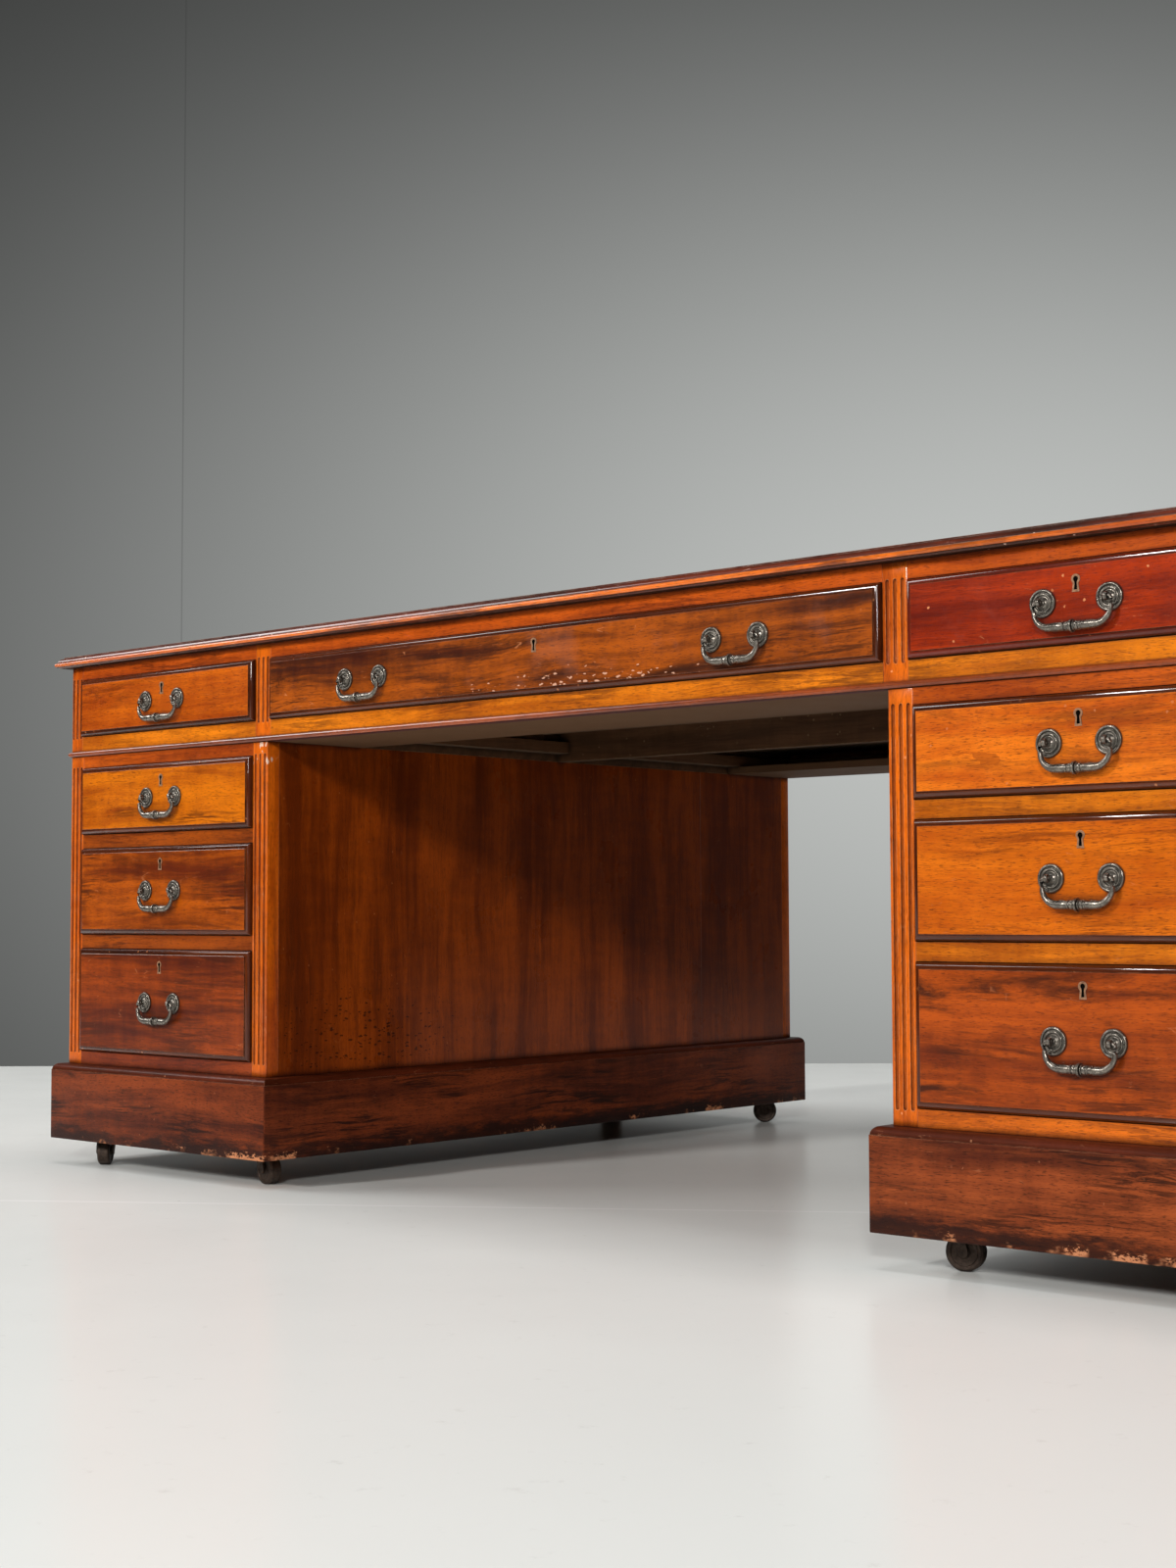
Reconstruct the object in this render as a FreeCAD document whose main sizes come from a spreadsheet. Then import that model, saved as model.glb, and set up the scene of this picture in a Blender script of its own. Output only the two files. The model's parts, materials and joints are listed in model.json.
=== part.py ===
import FreeCAD, Part
import math
import os
from types import SimpleNamespace
import Sketcher

# A partners desk in three sections: a frieze section with the top, standing on two pedestals.
# Frame: origin on the floor under the middle of the desk, +X to the right of someone facing
# the drawer side, +Y towards the cupboard side, +Z up. All lengths are millimetres.

SIZES = {
    # whole desk
    "overall_height": 790.0,
    "carcass_width": 2007.0,
    "carcass_depth": 1244.0,
    "board_thickness": 20.0,
    "joint_gap": 0.8,
    # top
    "top_thickness": 17.0,
    "top_overhang": 20.5,
    "top_edge_stick": 60.0,
    "top_ovolo": 7.0,
    "top_nose": 6.5,
    "top_nose_lift": 1.5,
    "top_shelf": 0.25,
    "top_under_bevel": 3.25,
    "leather_border": 40.0,
    "leather_thickness": 1.6,
    "leather_side_panel": 400.0,
    # frieze
    "frieze_height": 140.4,
    "frieze_stile_width": 33.0,
    "frieze_end_stile_width": 27.5,
    "frieze_stile_inset": 10.2,
    "frieze_lower_rail": 30.4,
    "frieze_upper_rail": 20.5,
    "partition_thickness": 21.0,
    "bead_height": 8.0,
    "bead_proud": 4.5,
    "bead_shoulder": 2.7,
    "bearer_board_depth": 140.0,
    "bearer_board_thickness": 12.0,
    # pedestals
    "pedestal_width": 475.0,
    "pedestal_stile_width": 32.0,
    "stile_thickness": 22.0,
    "rail_depth": 40.0,
    "foot_rail_height": 20.0,
    "drawer_rail_height": 21.0,
    "pedestal_top_thickness": 18.0,
    "side_seam_from_front": 984.0,
    "shelf_height": 392.0,
    "shelf_thickness": 16.0,
    # flutes
    "flute_width": 4.8,
    "flute_depth": 2.0,
    "flute_pitch": 10.0,
    "flute_margin": 2.0,
    # plinth
    "plinth_underside": 40.0,
    "plinth_top": 155.0,
    "plinth_proud": 20.0,
    "plinth_board": 32.0,
    "plinth_moulding_height": 9.5,
    "plinth_quirk": 1.5,
    "corner_block": 74.0,
    # drawers
    "middle_drawer_height": 131.7,
    "upper_drawer_height": 102.8,
    "front_thickness": 18.0,
    "front_proud": 8.0,
    "front_bevel": 5.4,
    "field_inset": 7.6,
    "field_step": 1.4,
    "drawer_rear_gap": 52.0,
    "drawer_side": 10.0,
    "drawer_bottom": 6.0,
    "bottom_groove": 9.0,
    "side_play": 0.7,
    "runner_play": 0.3,
    "runner_width": 27.0,
    "runner_height": 18.0,
    "guide_height": 12.0,
    "lock_width": 46.0,
    "lock_height": 34.0,
    "lock_thickness": 9.0,
    "keyhole_depth": 25.0,
    "keyhole_above": 5.8,
    "keyhole_below": 7.7,
    "keyhole_head": 5.2,
    "keyhole_foot": 3.4,
    "escutcheon_rim": 2.5,
    "escutcheon_thickness": 0.5,
    # handles
    "narrow_bore": 68.5,
    "wide_bore": 77.0,
    "centre_handle_offset": 321.0,
    "rosette_radius": 15.0,
    "rosette_thickness": 3.2,
    "post_reach": 9.0,
    "eye_radius": 4.6,
    "eye_length": 4.4,
    "bail_wire": 2.2,
    "bail_bend": 11.0,
    "bail_end_play": 0.3,
    "bail_turned": 14.0,
    "collar_width": 2.0,
    "bail_drop": 27.2,
    "bail_bulge": 6.4,
    "bail_collar": 7.2,
    "bail_bead": 5.6,
    # cupboard doors
    "door_thickness": 20.0,
    "door_frame": 62.0,
    "door_panel": 8.0,
    "door_panel_recess": 7.0,
    "hinge_gap": 2.0,
    "hinge_leaf": 0.8,
    "hinge_leaf_width": 16.0,
    "hinge_length": 62.0,
    "hinge_knuckle": 4.5,
    "knuckle_gap": 0.15,
    "hinge_from_end": 70.0,
    # casters
    "wheel_radius": 21.0,
    "wheel_width": 19.0,
    "axle_radius": 2.5,
    "caster_boss": 5.5,
    "running_clearance": 0.05,
    "caster_inset_side": 50.0,
    "caster_inset_front": 38.0,
    "caster_trail": 15.0,
    "cheek_thickness": 3.0,
    "cheek_play": 0.8,
    "crown_thickness": 5.0,
    "crown_play": 3.0,
    "crown_reach": 12.0,
    "swivel_play": 0.4,
    "caster_plate": 46.0,
    "caster_plate_thickness": 3.0,
}

# how far a tool goes past the face that it cuts, and a piece into the one that it is fused with
LAP = 1.0
FLUTES = 3
BAIL_SIDES = 8
ROSETTE_SIDES = 12
WHEEL_SIDES = 32
AXLE_SIDES = 16
KNUCKLE_SIDES = 12
# an ovolo drawn with three flats: how far in from either end its two corners are
OVOLO_NEAR = 1 - math.cos(math.pi / 6)
OVOLO_FAR = math.sin(math.pi / 6)
# distance from the middle of an octagon to its corner, over the distance to its flat
OCTAGON_CORNER = 1 / math.cos(math.pi / 8)
# how far each caster has swivelled at rest, in degrees about the vertical, by corner
SWIVEL = {
    "left_outer_front": 132.0,
    "left_inner_front": 172.0,
    "left_outer_rear": 205.0,
    "left_inner_rear": 217.0,
    "right_inner_front": 195.0,
    "right_outer_front": 160.0,
    "right_inner_rear": 248.0,
    "right_outer_rear": 96.0,
}

Vector = FreeCAD.Vector
doc = FreeCAD.newDocument("partners_desk")
sheet = doc.addObject("Spreadsheet::Sheet", "Sizes")


class Measure:
    """A length with its present value and the spreadsheet formula that gives it."""

    def __init__(self, value, formula):
        self.value = float(value)
        self.formula = formula

    def __add__(self, other):
        other = measure(other)
        return Measure(self.value + other.value, f"({self.formula} + {other.formula})")

    def __sub__(self, other):
        other = measure(other)
        return Measure(self.value - other.value, f"({self.formula} - {other.formula})")

    def __mul__(self, other):
        other = measure(other)
        return Measure(self.value * other.value, f"({self.formula} * {other.formula})")

    def __truediv__(self, other):
        other = measure(other)
        return Measure(self.value / other.value, f"({self.formula} / {other.formula})")

    def __neg__(self):
        return Measure(-self.value, f"(0 - {self.formula})")

    def __radd__(self, other):
        return measure(other) + self

    def __rsub__(self, other):
        return measure(other) - self

    def __rmul__(self, other):
        return measure(other) * self


def measure(value):
    """Give a plain number the same form as a size from the sheet."""
    if isinstance(value, Measure):
        return value
    return Measure(value, f"({float(value)!r})")


def fill_sheet():
    """Write every driving dimension to the sheet and return them as measures by name."""
    for row, (alias, value) in enumerate(SIZES.items(), start=1):
        sheet.set(f"A{row}", alias)
        sheet.set(f"B{row}", str(value))
        sheet.setAlias(f"B{row}", alias)
    doc.recompute()
    return SimpleNamespace(**{
        alias: Measure(getattr(sheet, alias), f"Sizes.{alias}") for alias in SIZES
    })


s = fill_sheet()


# ---------------------------------------------------------------- building helpers

def bind(thing, prop, length):
    """Tie one property to the sheet."""
    thing.setExpression(prop, measure(length).formula)


def place(thing, x=0, y=0, z=0, turn=0.0):
    """Put an object somewhere, turned about the vertical by a fixed number of degrees."""
    thing.Placement = FreeCAD.Placement(Vector(0, 0, 0), FreeCAD.Rotation(Vector(0, 0, 1), turn))
    for axis, value in (("x", x), ("y", y), ("z", z)):
        bind(thing, f"Placement.Base.{axis}", value)
    return thing


def board(name, x, y, z):
    """Rectangular board, given its two ends along each axis."""
    box = doc.addObject("Part::Box", name)
    for prop, (low, high) in (("Length", x), ("Width", y), ("Height", z)):
        bind(box, prop, measure(high) - low)
    return place(box, x[0], y[0], z[0])


ALONG = {"X": (Vector(0, 1, 0), 90), "-Y": (Vector(1, 0, 0), 90), "Z": (Vector(0, 0, 1), 0)}


def prism(name, sides, radius, length, at, axis):
    """Rod with so many flat sides, its radius measured to the corners."""
    solid = doc.addObject("Part::Prism", name)
    solid.Polygon = sides
    bind(solid, "Circumradius", radius)
    bind(solid, "Height", length)
    solid.Placement = FreeCAD.Placement(Vector(0, 0, 0), FreeCAD.Rotation(*ALONG[axis]))
    for prop, value in zip(("x", "y", "z"), at):
        bind(solid, f"Placement.Base.{prop}", value)
    return solid


def cut(name, base, tool):
    """Base with the tool's volume taken away."""
    result = doc.addObject("Part::Cut", name)
    result.Base = base
    result.Tool = tool
    return result


def join(name, pieces):
    """One solid from several that meet."""
    result = doc.addObject("Part::MultiFuse", name)
    result.Shapes = pieces
    return result


def group(name, pieces, x=0, y=0, z=0, turn=0.0):
    """Separate solids held together as one object, which can be placed as a whole."""
    result = doc.addObject("Part::Compound", name)
    result.Label = name
    result.Links = pieces
    return place(result, x, y, z, turn)


def plane_of(body, role):
    """The origin plane or axis of a body with this role."""
    return next(f for f in body.Origin.OriginFeatures if f.Role == role)


def sketch_on(body, name, role, outlines, lift=0):
    """Closed outlines on one of the body's origin planes.

    An outline is a list of points, each a pair of measures. A third entry in a point makes
    the edge that leaves it an arc: (centre x, centre y, clockwise).
    """
    sketch = body.newObject("Sketcher::SketchObject", name)
    sketch.AttachmentSupport = (plane_of(body, role), [""])
    sketch.MapMode = "FlatFace"
    bind(sketch, "AttachmentOffset.Base.z", lift)
    for points in outlines:
        draw_outline(sketch, points)
    return sketch


def draw_outline(sketch, points):
    """Draw one closed outline and pin every corner to the sheet."""
    first = sketch.GeometryCount
    count = len(points)
    flat = [Vector(measure(p[0]).value, measure(p[1]).value, 0) for p in points]
    turned = {}
    for i, point in enumerate(points):
        start, end = flat[i], flat[(i + 1) % count]
        if len(point) == 2:
            sketch.addGeometry(Part.LineSegment(start, end), False)
            continue
        centre = Vector(measure(point[2][0]).value, measure(point[2][1]).value, 0)
        clockwise = point[2][2]
        begin, finish = (end, start) if clockwise else (start, end)
        angles = [math.atan2(v.y - centre.y, v.x - centre.x) for v in (begin, finish)]
        if angles[1] <= angles[0]:
            angles[1] += 2 * math.pi
        circle = Part.Circle(centre, Vector(0, 0, 1), begin.distanceToPoint(centre))
        sketch.addGeometry(Part.ArcOfCircle(circle, angles[0], angles[1]), False)
        turned[i] = clockwise
    for i in range(count):
        after = (i + 1) % count
        end = 1 if turned.get(i) else 2
        start = 2 if turned.get(after) else 1
        sketch.addConstraint(Sketcher.Constraint("Coincident", first + i, end, first + after, start))
    for i, point in enumerate(points):
        start = 2 if turned.get(i) else 1
        for kind, value in (("DistanceX", point[0]), ("DistanceY", point[1])):
            value = measure(value)
            index = sketch.addConstraint(
                Sketcher.Constraint(kind, first + i, start, value.value))
            sketch.setExpression(f"Constraints[{index}]", value.formula)
        if len(point) == 3:
            chord = flat[(i + 1) % count] - flat[i]
            kind, at = ("DistanceX", 0) if abs(chord.y) >= abs(chord.x) else ("DistanceY", 1)
            centre = measure(point[2][at])
            index = sketch.addConstraint(Sketcher.Constraint(kind, first + i, 3, centre.value))
            sketch.setExpression(f"Constraints[{index}]", centre.formula)


def rectangle(x, y):
    """Corner points of a rectangle between two ends along each axis."""
    return [(x[0], y[0]), (x[1], y[0]), (x[1], y[1]), (x[0], y[1])]


def new_body(name):
    """Empty PartDesign body."""
    return doc.addObject("PartDesign::Body", name)


def pad(body, sketch, length, reverse=False):
    """Extrude a sketch into the body."""
    feature = body.newObject("PartDesign::Pad", f"{sketch.Name}_pad")
    feature.Profile = sketch
    bind(feature, "Length", length)
    feature.Reversed = reverse
    doc.recompute()
    return feature


def pocket(body, sketch, length, reverse=False):
    """Cut a sketch out of the body, and make sure that it removes something."""
    before = body.Shape.Volume
    feature = body.newObject("PartDesign::Pocket", f"{sketch.Name}_pocket")
    feature.Profile = sketch
    bind(feature, "Length", length)
    feature.Reversed = reverse
    doc.recompute()
    if body.Shape.Volume >= before:
        raise ValueError(f"{sketch.Name} cuts nothing")
    return feature


def facing(feature, axis, sign):
    """Names of the feature's flat faces that look along an axis, forwards or backwards."""
    return [
        f"Face{i}" for i, face in enumerate(feature.Shape.Faces, start=1)
        if getattr(face.normalAt(0, 0), axis) * sign > 0.99
    ]


def mitred_stick(name, along, reach, length, outline, depth):
    """Length of moulding on one side of a rectangle, mitred at both ends.

    The stick runs along X or Y. reach is the distance from the middle to the face that the
    outline is drawn from, length is that face's own length, and depth is how far the outline
    goes from its outermost point inwards. Outline points are (outward, height).
    """
    body = new_body(name)
    outer = max((measure(p[0]) for p in outline), key=lambda m: m.value)
    half = length / 2 + outer
    if along == "X":
        profile = [turn_point(p, lambda u: -reach - u, True) for p in outline]
        sketch = sketch_on(body, f"{name}_outline", "YZ_Plane", [profile], -half)
        pad(body, sketch, half * 2)
    else:
        profile = [turn_point(p, lambda u: reach + u, False) for p in outline]
        sketch = sketch_on(body, f"{name}_outline", "XZ_Plane", [profile], -half)
        pad(body, sketch, half * 2)
    edge = reach + outer
    ends = []
    for sign in (-1, 1):
        tip, back = sign * half, sign * (half - depth)
        if along == "X":
            ends.append([(tip, -edge), (back, depth - edge), (tip, depth - edge)])
        else:
            ends.append([(edge, tip), (edge - depth, back), (edge - depth, tip)])
    mitre = sketch_on(body, f"{name}_mitre", "XY_Plane", ends)
    pocket(body, mitre, s.overall_height * 2, True)
    return body


def turn_point(point, move, flip):
    """Carry an outline point and its arc over to the sketch of one side."""
    if len(point) == 2:
        return move(point[0]), point[1]
    x, z, clockwise = point[2]
    return move(point[0]), point[1], (move(x), z, clockwise != flip)


def mitred_ring(name, width, depth, outline, inwards):
    """Four mitred lengths of moulding around a rectangle centred on the origin."""
    front = mitred_stick(f"{name}_long", "X", depth / 2, width, outline, inwards)
    side = mitred_stick(f"{name}_short", "Y", width / 2, depth, outline, inwards)
    return [front, side, group(f"{name}_opposite", [front, side], turn=180.0)]


# ---------------------------------------------------------------- shared positions

half_width = s.carcass_width / 2
front_y = -(s.carcass_depth / 2)
rear_y = s.carcass_depth / 2
top_underside = s.overall_height - s.top_thickness
frieze_underside = top_underside - s.frieze_height
end_inner = half_width - s.board_thickness
stile_back = front_y + s.stile_thickness
rail_back = front_y + s.rail_depth
spine_half = s.board_thickness / 2
drawer_depth = rear_y - spine_half - s.drawer_rear_gap

pedestal_inner = half_width - s.pedestal_width
pedestal_middle = half_width - s.pedestal_width / 2
pedestal_open = s.pedestal_width - s.pedestal_stile_width * 2
case_inner = s.pedestal_width - s.board_thickness * 2

frieze_open_low = frieze_underside + s.frieze_lower_rail
frieze_open_high = top_underside - s.frieze_upper_rail
frieze_stile_centre = pedestal_inner + s.frieze_stile_inset
stile_near = frieze_stile_centre - s.frieze_stile_width / 2
stile_far = frieze_stile_centre + s.frieze_stile_width / 2
partition_near = frieze_stile_centre - s.partition_thickness / 2
partition_far = frieze_stile_centre + s.partition_thickness / 2
end_stile_inner = half_width - s.frieze_end_stile_width

play = s.joint_gap * 2
frieze_drawer_height = frieze_open_high - frieze_open_low - play
# the two upper drawers have heights of their own, and the lowest takes what is left
pedestal_rail_top = frieze_underside - s.pedestal_top_thickness
upper_open_high = pedestal_rail_top - s.joint_gap
upper_open = upper_open_high - play - s.upper_drawer_height
middle_open = upper_open - s.drawer_rail_height - play - s.middle_drawer_height
lower_open = s.plinth_top + s.foot_rail_height
lower_drawer_height = middle_open - s.drawer_rail_height - play - lower_open

SIDES = (("left", -1), ("right", 1))


# ---------------------------------------------------------------- top and frieze

def make_top():
    """Top boards, moulded edge and the three leather panels."""
    u = s.top_overhang
    nose_x = u - s.top_nose / 2
    low = top_underside + s.top_nose_lift
    nose_mid = low + s.top_nose / 2
    nose_top = low + s.top_nose
    foot = nose_x - s.top_shelf
    rim = foot - s.top_ovolo
    outline = [
        (u - s.top_edge_stick, top_underside),
        (nose_x - s.top_under_bevel, top_underside),
        (nose_x, low, (nose_x, nose_mid, False)),
        (nose_x, nose_top),
        (foot, nose_top, (rim, nose_top, False)),
        (rim, nose_top + s.top_ovolo),
        (rim, s.overall_height),
        (u - s.top_edge_stick, s.overall_height),
    ]
    ring = mitred_ring("top_edge", s.carcass_width, s.carcass_depth, outline, s.top_edge_stick)
    group("top_edge_moulding", ring)

    inner_x = half_width + u - s.top_edge_stick
    inner_y = rear_y + u - s.top_edge_stick
    slab = board("top_slab", (-inner_x, inner_x), (-inner_y, inner_y),
                 (top_underside, s.overall_height))
    spans = leather_spans(inner_x)
    recess_floor = s.overall_height - s.leather_thickness
    hide_y = inner_y - s.leather_border
    recesses = [
        board(f"leather_recess_{i}", span, (-hide_y, hide_y), (recess_floor, s.overall_height + LAP))
        for i, span in enumerate(spans)
    ]
    top = cut("top_board", slab, group("leather_recesses", recesses))
    top.Label = "top_board"
    group("writing_leather", [
        board(f"leather_{i}", span, (-hide_y, hide_y), (recess_floor, s.overall_height))
        for i, span in enumerate(spans)
    ])


def leather_spans(inner_x):
    """Ends along X of the wide middle hide and the two narrow side hides."""
    outer = inner_x - s.leather_border
    side = outer - s.leather_side_panel
    middle = side - s.leather_border / 2
    return [(-outer, -side), (-middle, middle), (side, outer)]


def fluted_stile(name, width, low, high, open_low, open_high):
    """Upright with stopped flutes, on its own centre line with its face at Y = 0."""
    body = new_body(name)
    face = sketch_on(body, f"{name}_plan", "XY_Plane",
                     [rectangle((-width / 2, width / 2), (0, s.stile_thickness))], low)
    pad(body, face, measure(high) - low)
    low_end = open_low - s.flute_margin
    high_end = open_high + s.flute_margin
    flutes = [flute_section(s.flute_pitch * (i - (FLUTES - 1) / 2)) for i in range(FLUTES)]
    flute = sketch_on(body, f"{name}_flutes", "XY_Plane", flutes, low_end)
    pocket(body, flute, high_end - low_end, True)
    return body


def flute_section(x):
    """Section across one flute, open at the face, about its own centre line."""
    edge = s.flute_width / 2
    floor = s.flute_width / 4
    return [(x - edge, -LAP), (x + edge, -LAP), (x + edge, 0), (x + floor, s.flute_depth),
            (x - floor, s.flute_depth), (x - edge, 0)]


def make_frieze():
    """Frame of the frieze section: stiles, rails, ends, partitions and the bead below."""
    z = (frieze_underside, top_underside)
    middle = fluted_stile("frieze_stile", s.frieze_stile_width, *z, frieze_open_low, frieze_open_high)
    corner = fluted_stile("corner_stile", s.frieze_end_stile_width, *z, frieze_open_low,
                          frieze_open_high)
    corner_x = half_width - s.frieze_end_stile_width / 2
    front = [
        group(f"frieze_stile_{label}_{i}", [stile], sign * x, front_y)
        for label, sign in SIDES
        for i, (stile, x) in enumerate(((middle, frieze_stile_centre), (corner, corner_x)))
    ]
    group("frieze_fluted_stiles", front + [group("frieze_stiles_rear", front, turn=180.0)])

    rails = []
    spans = [(-end_stile_inner, -stile_far), (-stile_near, stile_near), (stile_far, end_stile_inner)]
    for i, span in enumerate(spans):
        rails.append(board(f"frieze_lower_rail_{i}", span, (front_y, rail_back),
                           (frieze_underside, frieze_open_low)))
        rails.append(board(f"frieze_upper_rail_{i}", span, (front_y, rail_back),
                           (frieze_open_high, top_underside)))
    under = (frieze_underside, frieze_underside + s.bearer_board_thickness)
    rails.append(board("frieze_bearer_board", (-partition_near, partition_near),
                       (rail_back, rail_back + s.bearer_board_depth), under))
    group("frieze_rails", rails + [group("frieze_rails_rear", rails, turn=180.0)])

    group("frieze_end_panels", [
        board(f"frieze_end_{label}", ordered(sign, end_inner, half_width), (stile_back, -stile_back), z)
        for label, sign in SIDES
    ])

    partitions = [board("spine_middle", (-partition_near, partition_near),
                        (-spine_half, spine_half), z)]
    for label, sign in SIDES:
        partitions.append(board(f"partition_{label}", ordered(sign, partition_near, partition_far),
                                (stile_back, -stile_back), z))
        partitions.append(board(f"spine_{label}", ordered(sign, partition_far, end_inner),
                                (-spine_half, spine_half), z))
    group("frieze_partitions", partitions)

    quarter = s.bead_height / 4
    base = frieze_underside
    outline = [(0, base), (s.bead_shoulder, base), (s.bead_proud, base + quarter),
               (s.bead_proud, base + quarter * 3), (s.bead_shoulder, base + s.bead_height),
               (0, base + s.bead_height)]
    ring = mitred_ring("bead", s.carcass_width, s.carcass_depth, outline, s.bead_proud)
    group("frieze_bead_moulding", ring)


def ordered(sign, low, high):
    """The two ends of a span on the left (-1) or right (+1) of the middle."""
    return (low, high) if sign > 0 else (-high, -low)


# ---------------------------------------------------------------- pedestals

def make_pedestals():
    """Cases of the two pedestals, as boards around the middle of each pedestal."""
    half = s.pedestal_width / 2
    inside = case_inner / 2
    opening = pedestal_open / 2
    z = (s.plinth_top, frieze_underside)
    seam = front_y + s.side_seam_from_front

    sides = []
    for label, sign in SIDES:
        x = ordered(sign, inside, half)
        sides.append(board(f"case_side_front_{label}", x, (stile_back, seam), z))
        sides.append(board(f"case_side_rear_{label}", x, (seam, -stile_back), z))
    pair("pedestal_side_panels", sides)

    stile = fluted_stile("pedestal_stile", s.pedestal_stile_width, *z, lower_open, upper_open_high)
    stile_x = half - s.pedestal_stile_width / 2
    front = [group(f"pedestal_stile_{label}", [stile], sign * stile_x, front_y)
             for label, sign in SIDES]
    pair("pedestal_fluted_stiles", front + [group("pedestal_stiles_rear", front, turn=180.0)])

    across = (-opening, opening)
    ends = [
        board("foot_rail", across, (front_y, rail_back), (s.plinth_top, lower_open)),
        board("head_rail", across, (front_y, rail_back), (upper_open_high, frieze_underside)),
    ]
    dividers = [
        board("divider_lower", across, (front_y, rail_back),
              (middle_open - s.drawer_rail_height, middle_open)),
        board("divider_upper", across, (front_y, rail_back),
              (upper_open - s.drawer_rail_height, upper_open)),
    ]
    pair("pedestal_rails", ends + dividers + [group("pedestal_rails_rear", ends, turn=180.0)])

    wide = (-inside, inside)
    floor_top = s.plinth_top + s.pedestal_top_thickness
    shelf_y = (spine_half, -rail_back)
    pair("pedestal_inner_boards", [
        board("case_floor", wide, (rail_back, -rail_back), (s.plinth_top, floor_top)),
        board("case_head", wide, (rail_back, -rail_back), (pedestal_rail_top, frieze_underside)),
        board("case_division", wide, (-spine_half, spine_half), (floor_top, pedestal_rail_top)),
        board("cupboard_shelf", wide, shelf_y, (s.shelf_height, s.shelf_height + s.shelf_thickness)),
    ])


def pair(name, pieces):
    """The same pieces in the left and the right pedestal, as one node."""
    return group(name, [
        group(f"{name}_{label}", pieces, sign * pedestal_middle) for label, sign in SIDES
    ])


def make_runners():
    """Runners and guides that the drawers slide on, and the cleats under the shelves."""
    pieces = []
    for label, sign in SIDES:
        pieces += runner(f"centre_{label}", sign, stile_near, partition_near, -1, frieze_open_low)
        pieces += runner(f"side_inner_{label}", sign, stile_far, partition_far, 1, frieze_open_low)
        pieces += runner(f"side_outer_{label}", sign, end_stile_inner, end_inner, -1, frieze_open_low)
    frieze = pieces + [group("frieze_runners_rear", pieces, turn=180.0)]

    cases = []
    inside = case_inner / 2
    opening = pedestal_open / 2
    floor_top = s.plinth_top + s.pedestal_top_thickness
    for level, base in (("lower", lower_open), ("middle", middle_open), ("upper", upper_open)):
        for label, sign in SIDES:
            bottom = floor_top if level == "lower" else base - s.runner_height
            cases += runner(f"{level}_{label}", sign, opening, inside, -1, base, bottom)
    for label, sign in SIDES:
        x = ordered(sign, inside - s.runner_height, inside)
        cases.append(board(f"shelf_cleat_{label}", x, (spine_half, -rail_back),
                           (s.shelf_height - s.runner_height, s.shelf_height)))
    group("drawer_runners", frieze + [
        group(f"case_runners_{label}", cases, sign * pedestal_middle) for label, sign in SIDES
    ])


def runner(name, sign, opening, wall, towards, top, bottom=None):
    """A runner against a wall, and the guide on it that fills the space beside the drawer."""
    bottom = top - s.runner_height if bottom is None else bottom
    edge = wall + towards * s.runner_width
    x = (edge, wall) if towards < 0 else (wall, edge)
    guide = (opening, wall) if towards < 0 else (wall, opening)
    y = (rail_back, -spine_half)
    return [
        board(f"runner_{name}", ordered(sign, *x), y, (bottom, top)),
        board(f"guide_{name}", ordered(sign, *guide), y, (top, top + s.guide_height)),
    ]


def make_plinths():
    """Hollow plinths with an ovolo round the top, and the blocks inside their corners."""
    inner = s.plinth_proud - s.plinth_board
    step = s.plinth_top - s.plinth_moulding_height
    lip = s.plinth_proud - s.plinth_quirk
    curve = s.plinth_moulding_height
    outline = [
        (inner, s.plinth_underside),
        (s.plinth_proud, s.plinth_underside),
        (s.plinth_proud, step),
        (lip, step),
        (lip - curve * OVOLO_NEAR, step + curve * OVOLO_FAR),
        (lip - curve * OVOLO_FAR, step + curve * (1 - OVOLO_NEAR)),
        (lip - curve, s.plinth_top),
        (inner, s.plinth_top),
    ]
    ring = mitred_ring("plinth", s.pedestal_width, s.carcass_depth, outline, s.plinth_board)
    blocks = []
    half_x = s.pedestal_width / 2 + inner
    half_y = rear_y + inner
    for label, sign in SIDES:
        x = ordered(sign, half_x - s.corner_block, half_x)
        blocks.append(board(f"corner_block_{label}", x, (-half_y, s.corner_block - half_y),
                            (caster_top, s.plinth_top)))
    pieces = ring + blocks + [group("corner_blocks_rear", blocks, turn=180.0)]
    pair("plinths", pieces)


# ---------------------------------------------------------------- casters

crown_low = s.wheel_radius * 2 + s.crown_play
crown_top = crown_low + s.crown_thickness
caster_low = crown_top + s.swivel_play
caster_top = caster_low + s.caster_plate_thickness


def caster_master():
    """Fork and wheel of one caster: swivel axis at the origin, wheel trailing towards -X."""
    r = s.wheel_radius
    inside = s.wheel_width / 2 + s.cheek_play
    outside = inside + s.cheek_thickness
    boss = s.caster_boss
    front = s.crown_reach
    body = new_body("caster_horn")
    cheek = [
        (-s.caster_trail - boss, r - boss / 2), (-s.caster_trail, r - boss),
        (-s.caster_trail + boss, r - boss / 2), (front, crown_low), (front, crown_top),
        (-front, crown_top), (-s.caster_trail - boss, r + boss / 2),
    ]
    side = sketch_on(body, "horn_side", "XZ_Plane", [cheek], -outside)
    pad(body, side, outside * 2)
    slot = sketch_on(body, "horn_slot", "YZ_Plane",
                     [rectangle((-inside, inside), (0, crown_low))], -s.caster_plate)
    pocket(body, slot, s.caster_plate * 2, True)
    axle = prism("caster_axle", AXLE_SIDES, s.axle_radius, inside * 2,
                 (-s.caster_trail, inside, r), "-Y")

    width = s.wheel_width
    rim = prism("wheel_rim", WHEEL_SIDES, r, width, (-s.caster_trail, width / 2, r), "-Y")
    bore = (s.axle_radius + s.running_clearance) / math.cos(math.pi / AXLE_SIDES)
    hole = prism("wheel_hole", AXLE_SIDES, bore, width * 2, (-s.caster_trail, width, r), "-Y")
    return [body, axle], cut("wheel", rim, hole)


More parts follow.
